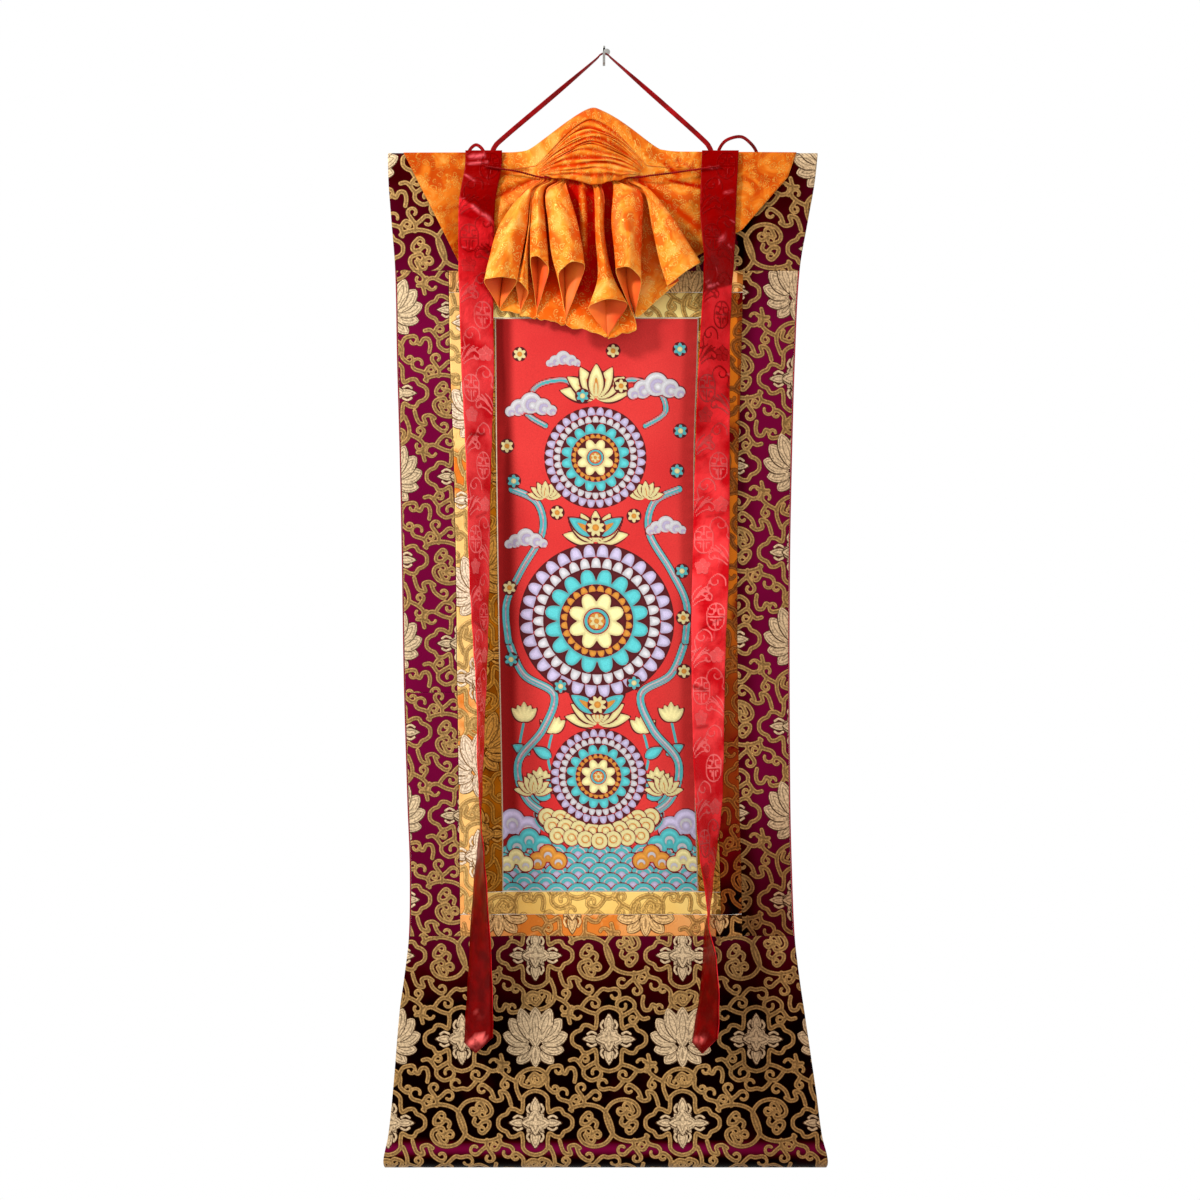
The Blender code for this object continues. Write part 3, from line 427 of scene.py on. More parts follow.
class Chart:
    """One repeat of a woven pattern, kept as distances to its bands and petals."""

    def __init__(self, width, height):
        self.size = np.array([width, height])
        self.count = np.round(self.size / CELL).astype(int)
        self.fields = {}

    def stamp(self, field, low, high, distance, over=False):
        """Keeps the least of a field and a distance, inside one box that may wrap.

        A shape laid over others first clears their lines from under it.
        """
        if field not in self.fields:
            self.fields[field] = np.full(self.count[::-1], REACH)
        i0, i1 = np.floor(np.array([low, high]) / CELL).astype(int)
        across, up = np.arange(i0[0], i1[0] + 1), np.arange(i0[1], i1[1] + 1)
        grid_x, grid_y = np.meshgrid(across * CELL, up * CELL)
        place = np.ix_(up % self.count[1], across % self.count[0])
        new, old = distance(grid_x, grid_y), self.fields[field][place]
        if over:
            new, old = np.abs(new), np.maximum(old, -new)
        self.fields[field][place] = np.minimum(old, new)

    def band(self, field, line, width=0.0):
        """Distance to a line of points, or to the sides of a band along it."""
        for a, b in zip(line[:-1], line[1:]):
            run = b - a
            length = max(float(run @ run), 1e-9)

            def distance(x, y):
                t = np.clip(((x - a[0]) * run[0] + (y - a[1]) * run[1]) / length, 0, 1)
                return np.hypot(x - a[0] - run[0] * t, y - a[1] - run[1] * t) - width

            self.stamp(field, np.minimum(a, b) - REACH, np.maximum(a, b) + REACH, distance)

    def petal(self, root, tip, half_width, blunt=0.75):
        """A filled petal and the thread line round it, over those already there."""
        root, tip = np.array(root, float), np.array(tip, float)
        length = np.linalg.norm(tip - root)
        way = (tip - root) / length

        def signed(x, y):
            t = ((x - root[0]) * way[0] + (y - root[1]) * way[1]) / length
            off = np.abs((y - root[1]) * way[0] - (x - root[0]) * way[1])
            reach = half_width * np.sin(math.pi * np.clip(t, 0, 1) ** blunt) ** (0.6 / blunt)
            past = np.maximum(np.maximum(-t, t - 1), 0) * length
            return np.where(past > 0, np.hypot(past, off), off - reach)

        low, high = np.minimum(root, tip) - REACH, np.maximum(root, tip) + REACH
        self.stamp("petals", low, high, signed)
        self.stamp("threads", low, high, signed, over=True)

    def look_up(self, field, across, up):
        """Value of a field at any points, repeated over the cloth."""
        values = self.fields[field]
        u, v = across / CELL, up / CELL
        i, j = np.floor(u).astype(int), np.floor(v).astype(int)
        s, t = u - i, v - j
        wide, high = self.count
        at = lambda a, b: values[b % high, a % wide]
        return ((at(i, j) * (1 - s) + at(i + 1, j) * s) * (1 - t)
                + (at(i, j + 1) * (1 - s) + at(i + 1, j + 1) * s) * t)


brocade = Chart(TILE_W, TILE_H)
corner = np.array([TILE_W, TILE_H]) / 2
quarter = through(CROSS_FRAME)
half_frame = np.vstack([quarter, (quarter * (1, -1))[-2::-1]])
whole_frame = np.vstack([half_frame, (half_frame * (-1, 1))[-2::-1]]) * UNIT
for middle in (np.zeros(2), corner):
    brocade.band("bands", whole_frame + middle)
    for root_x, root_y, tip_x, tip_y, wide in CROSS_PETALS:
        for turn in (1, -1):
            root, tip = np.array([root_x, root_y]) * turn, np.array([tip_x, tip_y]) * turn
            brocade.petal(middle + root * UNIT, middle + tip * UNIT, wide * UNIT)
    for points in CROSS_SEPALS:
        for turn in (1, -1):
            brocade.band("petals", through(points) * UNIT * turn + middle, 1.2)
for bands, middle in ((CLOUD_BANDS, (0, 0)), (RING_BANDS, (0, TILE_H / 2)),
                      (LOOP_BANDS, corner)):
    for points, curl in bands:
        line = with_curl(points, curl) * UNIT
        for turn in (1, -1):
            brocade.band("bands", (line[:-20] if curl else line) * turn + middle)
            brocade.band("bands", line[-20:] * turn + middle, -0.55 if curl else 0.0)
lotus = np.array([TILE_W / 2, 0.0])
for root_x, root_y, tip_x, tip_y, wide in LOTUS_PETALS[::-1] + LOTUS_HEART:
    for side in (1, -1):
        brocade.petal(lotus + np.array([root_x * side, root_y]) * UNIT,
                      lotus + np.array([tip_x * side, tip_y]) * UNIT, wide * UNIT, 1.05)


def brocade_fields(u, v):
    """The pattern's distances at each point of a cloth, for its material."""
    return {name: brocade.look_up(name, u, v) for name in ("bands", "petals", "threads")}


def calc(tree, operation, *values):
    """One step of arithmetic."""
    return wire(tree, "Math", dict(enumerate(values)), operation=operation).outputs[0]


def attribute(tree, name):
    return wire(tree, "Attribute", attribute_name=name).outputs["Fac"]


def mask(tree, field, full, none):
    """Soft mask from an attribute: 1 where it is at or below full, 0 from none up."""
    return wire(tree, "MapRange", {0: attribute(tree, field), 1: full, 2: none, 3: 1.0, 4: 0.0},
                interpolation_type="SMOOTHSTEP").outputs[0]


def emboss(tree, shader, height, depth, strength=1.0):
    """Raises the surface by a height of 0 to 1, depth millimetres at most."""
    bump = wire(tree, "Bump", {"Height": height, "Distance": depth / 1000, "Strength": strength})
    plug(tree, shader, {"Normal": bump.outputs[0]})


def figured_silk(name, ground, deep, band, petal, thread, patches, relief=0.4, sheen=0.05):
    """Brocade: a satin ground, ground to deep in clouds and in painted shade, with raised gold
    figures.
    """
    mat, tree, shader = new_material(name)
    cloudy = noise(tree, 16.0, 6.0)
    # The depth attribute is painted shade and the cloudy noise the silk's uneven tone: together they
    # take the ground to deep, and where the painted shade is deepest, to near black.
    shade_and_clouds = calc(tree, "MULTIPLY_ADD", cloudy, 0.5, attribute(tree, "depth"))
    dim = calc(tree, "MAXIMUM", spread(tree, shade_and_clouds, 0.25, 0.95), spread(tree, cloudy, *patches))
    colour = blend(tree, dim, ground, deep)
    colour = blend(tree, spread(tree, shade_and_clouds, 0.92, 1.2), colour, rgb(8, 0, 0))
    in_band, in_petal = mask(tree, "bands", 2.1, 2.55), mask(tree, "petals", -0.2, 0.2)
    edging = calc(tree, "MAXIMUM", mask(tree, "bands", 2.55, 3.4), mask(tree, "petals", 0.3, 1.1))
    colour = blend(tree, calc(tree, "MULTIPLY", edging, 0.8), colour, thread)
    strands = noise(tree, 520.0)
    core = calc(tree, "MULTIPLY", mask(tree, "bands", 0.5, 1.7), 0.55)
    waves = calc(tree, "SINE", calc(tree, "MULTIPLY", attribute(tree, "petals"), 1.75))
    veins = calc(tree, "MAXIMUM", spread(tree, waves, 0.2, 0.9, 0.0, 0.6),
                 mask(tree, "threads", 0.35, 1.2))
    colour = blend(tree, in_band, colour, blend(tree, core, band, thread))
    colour = blend(tree, in_petal, colour, blend(tree, veins, petal, thread))
    figure = calc(tree, "MAXIMUM", in_band, in_petal)
    # The strands noise makes the gold threads uneven and brighter in places: partly painted glints.
    shade = blend(tree, figure, (1, 1, 1, 1), spread(tree, strands, 0.34, 0.68, 0.6, 1.2))
    # Painted shade: this attribute darkens ground and figures alike.
    shade = blend(tree, attribute(tree, "painted_shade"), shade,
                  blend(tree, 1.0, shade, (0.35, 0.24, 0.2, 1.0), "MULTIPLY"))
    plug(tree, shader, {"Base Color": blend(tree, 1.0, colour, shade, "MULTIPLY"),
                        "Specular Tint": colour, "Roughness": 0.42,
                        "Specular IOR Level": spread(tree, figure, 0.0, 1.0, sheen, 0.5)})
    height = calc(tree, "MAXIMUM", mask(tree, "bands", 1.0, 3.2), mask(tree, "petals", -1.4, 0.3))
    height = calc(tree, "MULTIPLY_ADD", veins, -0.4, height)
    emboss(tree, shader, calc(tree, "MULTIPLY_ADD", strands, 0.4, height), relief)
    return mat


def plain_weave(name, colour):
    """Plain unglazed cloth in one colour, with a fine grain."""
    mat, tree, shader = new_material(name)
    weave = noise(tree, 600.0)
    shade = spread(tree, weave, 0.3, 0.7, 0.75, 1.1)
    plug(tree, shader, {"Base Color": blend(tree, 1.0, colour, shade, "MULTIPLY"),
                        "Roughness": 0.85})
    emboss(tree, shader, weave, 0.2)
    return mat


wine_silk = figured_silk("wine brocade", rgb(118, 8, 56), rgb(60, 0, 4), rgb(196, 154, 94),
                         rgb(230, 202, 160), rgb(62, 34, 14), (0.62, 0.9))
wine_reverse = plain_weave("brocade reverse", rgb(110, 28, 44))


def painted_ground_shade(x, z):
    """Painted shade on the ground, from its brightest at 0 to nearly black at 1:
    the satin's light and shade painted by height, and painted shade on the right
    brocade beside its border and on that border's lower part.
    """
    shade = np.interp(-z, (120, 200, 265, 330, 900, 1060, 1090, 1160, 1400),
                      (0.72, 0.62, 0.4, 0.02, 0.06, 0.5, 0.66, 0.95, 1.0))
    strip = 0.5 * (1 - ease((x - 164) / 26)) * (x > 160)
    border = 0.55 * ease((-630 - z) / 150) * (x > 134) * (x <= 160)
    return shade + (strip + border) * (z > -1062)


def painted_shade_at(x, z):
    """How much darker the brocade and its gold are painted, as painted shade: most on the
    right, away from the light, and towards the foot.
    """
    right = ease((x - 120) / 60)
    return (0.42 * right * ease((-90 - z) / 60) + 0.12 * ease((-100 - z) / 60)
            + 0.4 * right * ease((-860 - z) / 160) * (z > -1062)
            + 0.2 * ease((-1040 - z) / 80))


def panel_grid(left, right, top, foot, cell):
    """Even grid of places between two side lines: across and height."""
    rows = int((top - foot) / cell) + 1
    middle = np.array([(top + foot) / 2])
    columns = int(float(right(middle)[0] - left(middle)[0]) / cell) + 1
    z = np.linspace(top, foot, rows)
    share = np.linspace(0, 1, columns)
    x = left(z)[:, None] * (1 - share) + right(z)[:, None] * share
    return x, np.repeat(z[:, None], columns, axis=1)


def flat_cloth(name, node, left, right, top, foot, silk, phase):
    """A panel or strip of the hanging cloth; phase is where a cross's middle would lie."""
    x, z = panel_grid(left, right, top, foot, PANEL_CELL)
    points = np.stack([x, cloth_y(x, z) - CLOTH_T / 2, z], axis=-1)
    cross_x, cross_z, stretch = phase
    fields = brocade_fields(x - cross_x, (z - cross_z) / stretch)
    fields["depth"] = painted_ground_shade(x, z)
    fields["painted_shade"] = painted_shade_at(x, z) * (1.0 if silk == wine_silk else 0.4)
    piece = make_cloth(name, points, CLOTH_T, 6, fields, (silk, wine_reverse))
    fit(piece, node)


edge_left = shifted(outline(EDGE_L), 1.6)
edge_right = shifted(outline(EDGE_R), -1.6)
border_left, border_right = outline(BORDER_L), outline(BORDER_R)
SIDE_TOP, SIDE_FOOT = TOP_SEAM_Z - HALF_SEAM, FOOT_SEAM_Z + HALF_SEAM
flat_cloth("left_brocade_panel_upper", "brocade_left_upper", edge_left,
           shifted(border_left, -HALF_SEAM), SIDE_TOP, LEFT_JOIN_Z + HALF_SEAM, wine_silk,
           (-256 + TILE_W / 2, -312.0, 1.0))
flat_cloth("left_brocade_panel_lower", "brocade_left_lower", edge_left,
           shifted(border_left, -HALF_SEAM), LEFT_JOIN_Z - HALF_SEAM, SIDE_FOOT, wine_silk,
           (-252 + TILE_W / 2, -918.0, 1.0))
flat_cloth("right_brocade_panel", "brocade_right",
           shifted(border_right, HALF_SEAM), edge_right, SIDE_TOP, SIDE_FOOT, wine_silk,
           (230 + TILE_W / 2, -499.0, 1.04))


def sleeve_line(rod_r, rod_z, flat_top, tail):
    """Outer face of a panel with a sleeve below: down, round the rod and sewn back up.

    Each point is depth behind the cloth's front face, height, and run from the top.
    """
    radius = rod_r + ROD_PLAY + SLEEVE_T
    line = [(0.0, z) for z in np.arange(flat_top, rod_z, -PANEL_CELL)]
    angles = np.radians(np.linspace(0, 265, int(radius * 4.63 / 1.2)))
    line += [(radius - radius * math.cos(a), rod_z - radius * math.sin(a)) for a in angles]
    reach = SLEEVE_T + ROD_PLAY + SLEEVE_T
    end = np.array(line[-1])
    close, top = np.array([reach, rod_z + radius * 1.75]), radius * 1.75 + tail
    for t in np.linspace(0, 1, 12)[1:]:
        bend = np.array([reach + 0.25 * radius, rod_z + radius * 1.15])
        line.append(tuple(end * (1 - t)**2 + bend * 2 * t * (1 - t) + close * t * t))
    line += [(reach, z) for z in np.arange(close[1] + 1.5, rod_z + top, 1.5)]
    line = np.array(line)
    run = np.concatenate([[0], np.cumsum(np.hypot(*np.diff(line, axis=0).T))])
    return line, run


def sleeved_cloth(name, node, line, run, start, cell, phase, painted_roll_highlight):
    """A panel that is turned back round its rod, its pattern running round with it."""
    z = line[:, 1]
    trim = 3.6 * ease((-1326 - z) / 24) ** 2
    left, right = outline(EDGE_L)(z) + trim, outline(EDGE_R)(z) - trim
    share = np.linspace(0, 1, int(510 / cell) + 1)
    x = left[:, None] * (1 - share) + right[:, None] * share
    height = np.repeat(z[:, None], len(share), axis=1)
    y = cloth_y(x, height) - CLOTH_T / 2 + line[:, :1]
    cross_x, cross_z, stretch = phase
    along = (start - run)[:, None] + np.zeros_like(x)
    fields = brocade_fields((x - cross_x) / stretch, (along - cross_z) / stretch)
    fields["depth"], fields["painted_shade"] = painted_ground_shade(x, along), painted_shade_at(x, along)
    points = np.stack([x, y, height], axis=-1)
    # Painted highlight: a band along the top of the foot's roll is painted at the ground's brightest.
    roll = painted_roll_highlight * np.exp(-((along + 1316) / 7.5) ** 2)
    fields["depth"] = fields["depth"] * (1 - roll) + 0.02 * roll
    if line[0, 1] < line[5, 1]:
        points = points[::-1]
        fields = {key: value[::-1] for key, value in fields.items()}
    piece = make_cloth(name, points, CLOTH_T, 6, fields, (wine_silk, wine_reverse))
    fit(piece, node)


line, run = sleeve_line(12.5, FOOT_Z + 14.4, FOOT_SEAM_Z - HALF_SEAM, 12.0)
sleeved_cloth("foot_brocade_panel", "brocade_foot", line, run, FOOT_SEAM_Z, FOOT_CELL,
              (6.0, -1185.0, 1.0), 1.0)
line, run = sleeve_line(6.0, -(TOP_Z - 7.9), -TOP_SEAM_Z - HALF_SEAM, 10.0)
sleeved_cloth("top_brocade_panel", "brocade_top", line * (1, -1), -run, TOP_SEAM_Z, TOP_CELL,
              (-195.0, -134.0, 1.05), 0.0)


# Edging: a narrow fold of plain red silk, sewn down both long sides of the mount so that
# the cut edges of the brocade don't show.

red_edge, tree, shader = new_material("red edging silk")
shade = spread(tree, noise(tree, 500.0), 0.3, 0.7, 0.7, 1.15)
plug(tree, shader, {"Base Color": blend(tree, 1.0, rgb(140, 8, 22), shade, "MULTIPLY"),
                    "Roughness": 0.55, "Specular IOR Level": 0.1})
for name, node, left, right in (
        ("left_edging", "edging_left", outline(EDGE_L), shifted(edge_left, -HALF_SEAM)),
        ("right_edging", "edging_right", shifted(edge_right, HALF_SEAM), outline(EDGE_R))):
    z = np.linspace(SIDE_TOP, SIDE_FOOT, 532)
    share = np.linspace(0, 1, 5)
    x = left(z)[:, None] * (1 - share) + right(z)[:, None] * share
    height = np.repeat(z[:, None], 5, axis=1)
    crown = 0.35 * np.sin(math.pi * share) + 0.06 * np.sin(height / 1.1)
    points = np.stack([x, cloth_y(x, height) - 1.0 - crown, height], axis=-1)
    piece = make_cloth(name, points, 1.9, 2, {}, (red_edge,))
    fit(piece, node)


# Gold borders: strips of the same figured silk on orange gold and on yellow gold, butted
# at the corners, so the across strips run over the ends of the upright ones.

ORANGE = figured_silk("orange gold brocade", rgb(254, 204, 124), rgb(228, 122, 40),
                      rgb(214, 172, 104), rgb(248, 222, 190), rgb(118, 76, 20), (0.5, 0.62), 0.5, 0.2)
TAN = figured_silk("tan gold brocade", rgb(255, 200, 128), rgb(216, 120, 44),
                   rgb(212, 154, 86), rgb(240, 192, 128), rgb(80, 38, 8), (0.48, 0.6), 0.5, 0.2)
# The right outer strip: the orange gold brocade again, darker, as painted shade on the side away from
# the light.
ORANGE_IN_SHADE = figured_silk("orange gold brocade in painted shade", rgb(210, 110, 24), rgb(106, 0, 6),
                    rgb(156, 86, 32), rgb(180, 116, 58), rgb(48, 10, 2), (0.46, 0.58), 0.5, 0.1)
YELLOW = figured_silk("yellow gold brocade", rgb(255, 230, 146), rgb(232, 170, 70),
                      rgb(228, 180, 98), rgb(252, 220, 140), rgb(92, 54, 10), (0.54, 0.72), 0.5, 0.2)
# The upright inner strips: the yellow gold brocade again, darker, as painted shade in the folds beside
# the picture.
YELLOW_IN_SHADE = figured_silk("yellow gold brocade in painted shade", rgb(164, 92, 10), rgb(92, 38, 0),
                     rgb(186, 124, 42), rgb(190, 132, 56), rgb(52, 18, 0), (0.42, 0.66), 0.5, 0.1)
PICTURE_TOP_Z, PICTURE_FOOT_Z, BORDER_W = -321.6, -1009.0, 26.0
picture_left, picture_right = outline(PICTURE_L), outline(PICTURE_R)
seam_left = lambda z: (border_left(z) + picture_left(z)) / 2
seam_right = lambda z: (border_right(z) + picture_right(z)) / 2
OUTER_TOP, OUTER_FOOT = SIDE_TOP - BORDER_W, SIDE_FOOT + BORDER_W
BORDERS = [
    # piece, node, left line, right line, top, foot, silk, cross x, cross z, length
    ("outer_strip_top", "outer_border_top", border_left, border_right, SIDE_TOP,
     OUTER_TOP + 0.3, TAN, 10.0, -300.0, 352),
    ("outer_strip_foot", "outer_border_foot", border_left, border_right, OUTER_FOOT - 0.3,
     SIDE_FOOT, TAN, -38.0, -1027.0, 337),
    ("outer_strip_left", "outer_border_left", border_left, seam_left, OUTER_TOP, OUTER_FOOT,
     ORANGE, -62.0, -860.0, 744),
    ("outer_strip_right", "outer_border_right", seam_right, border_right, OUTER_TOP,
     OUTER_FOOT, ORANGE_IN_SHADE, 190.0, -660.0, 744),
    ("inner_strip_top", "inner_border_top", seam_left, seam_right, OUTER_TOP,
     PICTURE_TOP_Z + 0.3, YELLOW, 30.0, -250.0, 298),
    ("inner_strip_foot", "inner_border_foot", seam_left, seam_right, PICTURE_FOOT_Z - 0.3,
     OUTER_FOOT, YELLOW, -32.0, -976.0, 286),
    ("inner_strip_left", "inner_border_left", seam_left, picture_left, PICTURE_TOP_Z,
     PICTURE_FOOT_Z, YELLOW_IN_SHADE, -60.0, -620.0, 687),
    ("inner_strip_right", "inner_border_right", picture_right, seam_right, PICTURE_TOP_Z,
     PICTURE_FOOT_Z, YELLOW_IN_SHADE, 60.0, -560.0, 687),
]
for name, node, left, right, top, foot, silk, cross_x, cross_z, length in BORDERS:
    flat_cloth(name, node, shifted(left, HALF_SEAM), shifted(right, -HALF_SEAM),
               top, foot, silk, (cross_x, cross_z, 1.065))


# Painted cloth: mineral colours on red-primed cotton, its bare edge left pale all round.
# The design is a general one of flower wheels, clouds, leaves and water.

PAINTING_CELL = 1.5
x, z = panel_grid(shifted(picture_left, HALF_SEAM), shifted(picture_right, -HALF_SEAM),
                  PICTURE_TOP_Z, PICTURE_FOOT_Z, PAINTING_CELL)
ACROSS = x - (x[:, :1] + x[:, -1:]) / 2
UP = z + 665.3
NONE = 9.0
paint = {key: np.full(x.shape, NONE) for key in
         ("lavender", "turquoise", "cream", "orange", "maroon", "pale")}


def dab(colour, signed):
    """Paints a shape, given as signed distances, over whatever lies under it."""
    for key in paint:
        if key == colour:
            paint[key] = np.minimum(paint[key], signed)
        else:
            paint[key] = np.maximum(paint[key], -signed)


def disc(colour, cx, cz, radius):
    dab(colour, np.hypot(ACROSS - cx, UP - cz) - radius)


def petals(colour, cx, cz, inner, outer, count, fill=0.8, turn=0.0):
    """A ring of rounded petals between two radii."""
    r = np.hypot(ACROSS - cx, UP - cz)
    step = 2 * math.pi / count
    angle = (np.arctan2(UP - cz, ACROSS - cx) + turn) % step - step / 2
    t = np.clip((r - inner) / (outer - inner), 0, 1)
    wide = fill * step / 2 * (inner + (outer - inner) * 0.55) * np.sqrt(np.clip(1 - t**4, 0, 1))
    signed = np.maximum(np.abs(angle) * r - wide, np.maximum(inner - r, r - outer))
    dab(colour, signed)


def leaf(colour, root, tip, half_width):
    """A pointed leaf from its root to its tip."""
    root, tip = np.array(root, float), np.array(tip, float)
    length = np.linalg.norm(tip - root)
    way = (tip - root) / length
    t = ((ACROSS - root[0]) * way[0] + (UP - root[1]) * way[1]) / length
    off = np.abs((UP - root[1]) * way[0] - (ACROSS - root[0]) * way[1])
    reach = half_width * np.sin(math.pi * np.clip(t, 0, 1) ** 0.8) ** 0.8
    past = np.maximum(np.maximum(-t, t - 1), 0) * length
    dab(colour, np.where(past > 0, np.hypot(past, off), off - reach))


def stroke(colour, points, width):
    """A brush line through some points."""
    line = through(points, 5.0)
    best = np.full(x.shape, 99.0)
    for a, b in zip(line[:-1], line[1:]):
        run = b - a
        t = np.clip(((ACROSS - a[0]) * run[0] + (UP - a[1]) * run[1]) / (run @ run), 0, 1)
        best = np.minimum(best, np.hypot(ACROSS - a[0] - run[0] * t, UP - a[1] - run[1] * t))
    dab(colour, best - width / 2)


# Water and banks at the foot
for row in range(5):
    for k in range(-5, 6):
        cx = k * 26 + (13 if row % 2 else 0)
        for colour, radius in (("maroon", 15.5), ("turquoise", 14.3), ("pale", 10), ("turquoise", 8.5),
                               ("lavender", 4.5)):
            disc(colour, cx, -300 - row * 12, radius)
for way in (1, -1):
    for cx, top, wide, colour in ((104, -238, 30, "lavender"), (84, -258, 24, "turquoise"),
                                  (62, -276, 20, "orange"), (100, -280, 18, "cream")):
        for tone, grow in (("maroon", 1.3), (colour, 0.0)):
            for dx in (-0.62, 0.62, 0.0):
                disc(tone, (cx + dx * wide) * way, top - 22 - abs(dx) * 14, wide * 0.5 + grow)
        for dx in (-0.62, 0.62, 0.0):
            disc("pale", (cx + dx * wide) * way, top - 25 - abs(dx) * 14, wide * 0.24)
            disc(colour, (cx + dx * wide) * way, top - 27 - abs(dx) * 14, wide * 0.17)
# A lotus plant on each side of a tall stand of three flower wheels
STEMS = [
    # side, root across, root up, bend across, bend up, flower across, flower up
    (1, 26, -290, 74, -262, 70, -214), (1, 22, -284, 92, -214, 88, -136),
    (1, 18, -262, 58, -196, 54, -150),
]
for side, x0, z0, x1, z1, x2, z2 in STEMS:
    for way in (side, -side):
        stroke("turquoise", [(x0 * way, z0), (x1 * way, z1), (x2 * way, z2)], 3.2)
        for share, wide in ((0.35, 9), (0.7, 7)):
            lx, lz = x0 + (x2 - x0) * share + 12, z0 + (z2 - z0) * share
            leaf("maroon", (lx * way, lz), ((lx + 24) * way, lz + 13), wide + 1)
            leaf("turquoise", ((lx + 1) * way, lz + 0.6), ((lx + 22) * way, lz + 12), wide - 0.6)
        for tone, grow in (("maroon", 1.2), ("cream", 0.0)):
            for dx in (-15, 15, -8, 8, 0):
                leaf(tone, (x2 * way, z2 - 4 - grow), (x2 * way + dx * (1 + grow / 12),
                     z2 + 20 - abs(dx) * 0.55 + grow), 5.2 + grow)
# Scarves that wind up past the wheels
SCARVES = [
    # across and up along each, then its width
    ([(38, -262), (84, -236), (96, -190), (66, -150), (52, -108), (88, -84), (106, -44)], 9),
    ([(106, -44), (108, 0), (90, 40), (64, 86), (70, 122), (100, 138)], 8),
    ([(60, 214), (84, 232), (70, 262), (34, 268), (24, 246)], 6),
]
for points, wide in SCARVES:
    for way in (1, -1):
        line = [(a * way, b) for a, b in points]
        for tone, width, shift in (("maroon", wide + 2.4, 0), ("turquoise", wide, 0),
                                   ("pale", wide * 0.2, 1.6), ("lavender", wide * 0.14, -2.2)):
            stroke(tone, [(a, b + shift) for a, b in line], width)
# A wide lotus stand below the lowest wheel
for row, (count, reach, drop) in enumerate(((9, 62, -262), (8, 56, -272), (7, 50, -283))):
    for k in sorted(range(count), key=lambda k: -abs(k - (count - 1) / 2)):
        cx = (k / (count - 1) * 2 - 1) * reach
        for tone, grow in (("maroon", 1.2), ("cream", 0.0), ("orange", -4.6), ("cream", -6.0)):
            disc(tone, cx, drop + abs(cx) * 0.12, 10.4 - row * 0.4 + grow)


def blossom(cx, cz, size):
    """An open lotus seen from its side."""
    for lean in (-78, 78, -52, 52, -26, 26, 0):
        way = np.array([math.sin(math.radians(lean)), math.cos(math.radians(lean))])
        for tone, reach, wide in (("maroon", size + 1.6, 0.25), ("cream", size, 0.2),
                                  ("orange", size * 0.62, 0.07), ("cream", size * 0.5, 0.045)):
            leaf(tone, (cx, cz), way * (1, 0.92) * reach + (cx, cz), size * wide)


for cx, cz, size in ((0, -142, 40), (0, 76, 40), (0, 248, 44), (78, -226, 24), (-78, -226, 24),
                     (-60, 128, 22), (60, 128, 22)):
    blossom(cx, cz, size)
# The three wheels, largest in the middle
WHEELS = [
    # across, up, size
    (0, -206, 0.62), (0, -20, 1.0), (0, 176, 0.66),
]
RINGS = [
    # colour, inner radius, outer radius, petals (0 for a disc), fill, turn
    ("maroon", 0, 93, 0, 0, 0), ("lavender", 74, 91.5, 32, 0.84, 0), ("maroon", 0, 77, 0, 0, 0),
    ("pale", 62, 76, 32, 0.8, 0.098), ("maroon", 0, 64, 0, 0, 0),
    ("turquoise", 42, 62.5, 16, 0.86, 0), ("maroon", 0, 44, 0, 0, 0),
    ("orange", 34, 43, 24, 0.8, 0), ("maroon", 0, 35.5, 0, 0, 0),
    ("cream", 13, 34.5, 8, 0.92, 0), ("maroon", 0, 16, 0, 0, 0), ("turquoise", 0, 14.6, 0, 0, 0),
    ("maroon", 0, 11, 0, 0, 0), ("orange", 0, 9.8, 0, 0, 0), ("cream", 3, 9, 6, 0.7, 0),
]
for cx, cz, size in WHEELS:
    for colour, inner, outer, count, fill, turn in RINGS:
        if count:
            petals(colour, cx, cz, inner * size, outer * size, count, fill, turn)
        else:
            disc(colour, cx, cz, outer * size)
    petals("turquoise", cx, cz, 46 * size, 58 * size, 16, 0.42)
    petals("cream", cx, cz, 19 * size, 30 * size, 8, 0.4)
for cz in (-120, 92):
    for way in (1, -1):
        leaf("maroon", (0, cz - 10), (34 * way, cz + 13), 10)
        leaf("turquoise", (1.5 * way, cz - 9), (31.5 * way, cz + 11.5), 8.4)
        leaf("orange", (3 * way, cz - 7), (22 * way, cz + 6), 3.2)
    disc("maroon", 0, cz, 12)
    petals("cream", 0, cz, 3, 11, 8, 0.84)
    disc("orange", 0, cz, 4)
# Clouds and small round flowers
CLOUDS = [
    # across, up, size, side it trails to
    (72, 258, 1.0, 1), (-78, 236, 0.9, -1), (84, 92, 0.7, 1), (-84, 76, 0.75, -1),
    (-40, 292, 0.6, 1),
]
PUFFS = [(-16, 0, 11), (0, 6, 14), (16, 1, 11), (28, -4, 7), (-27, -5, 7)]
for cx, cz, size, way in CLOUDS:
    for dx, dz, radius in PUFFS:
        disc("maroon", cx + dx * size, cz + dz * size, (radius + 1.4) * size)
    for dx, dz, radius in PUFFS:
        disc("pale", cx + dx * size, cz + dz * size, radius * size)
        disc("lavender", cx + dx * size + 1.5, cz + dz * size - 2, radius * size * 0.62)
        disc("pale", cx + dx * size + 2.2, cz + dz * size - 3, radius * size * 0.34)
FLOWERS = [(-104, 20), (104, -16), (-103, -66), (103, 40), (-98, 148), (98, 160), (30, 262),
           (-16, 250), (104, -80), (-44, -98), (46, 106), (-46, 110), (44, -94), (-106, 190),
           (20, 304), (-92, 300), (100, 306), (102, 208)]
for cx, cz in FLOWERS:
    disc("maroon", cx, cz, 9.0)
    petals("turquoise" if (cx + cz) % 4 else "cream", cx, cz, 2.5, 8.0, 6, 0.82)
    disc("cream" if (cx + cz) % 4 else "orange", cx, cz, 3.0)

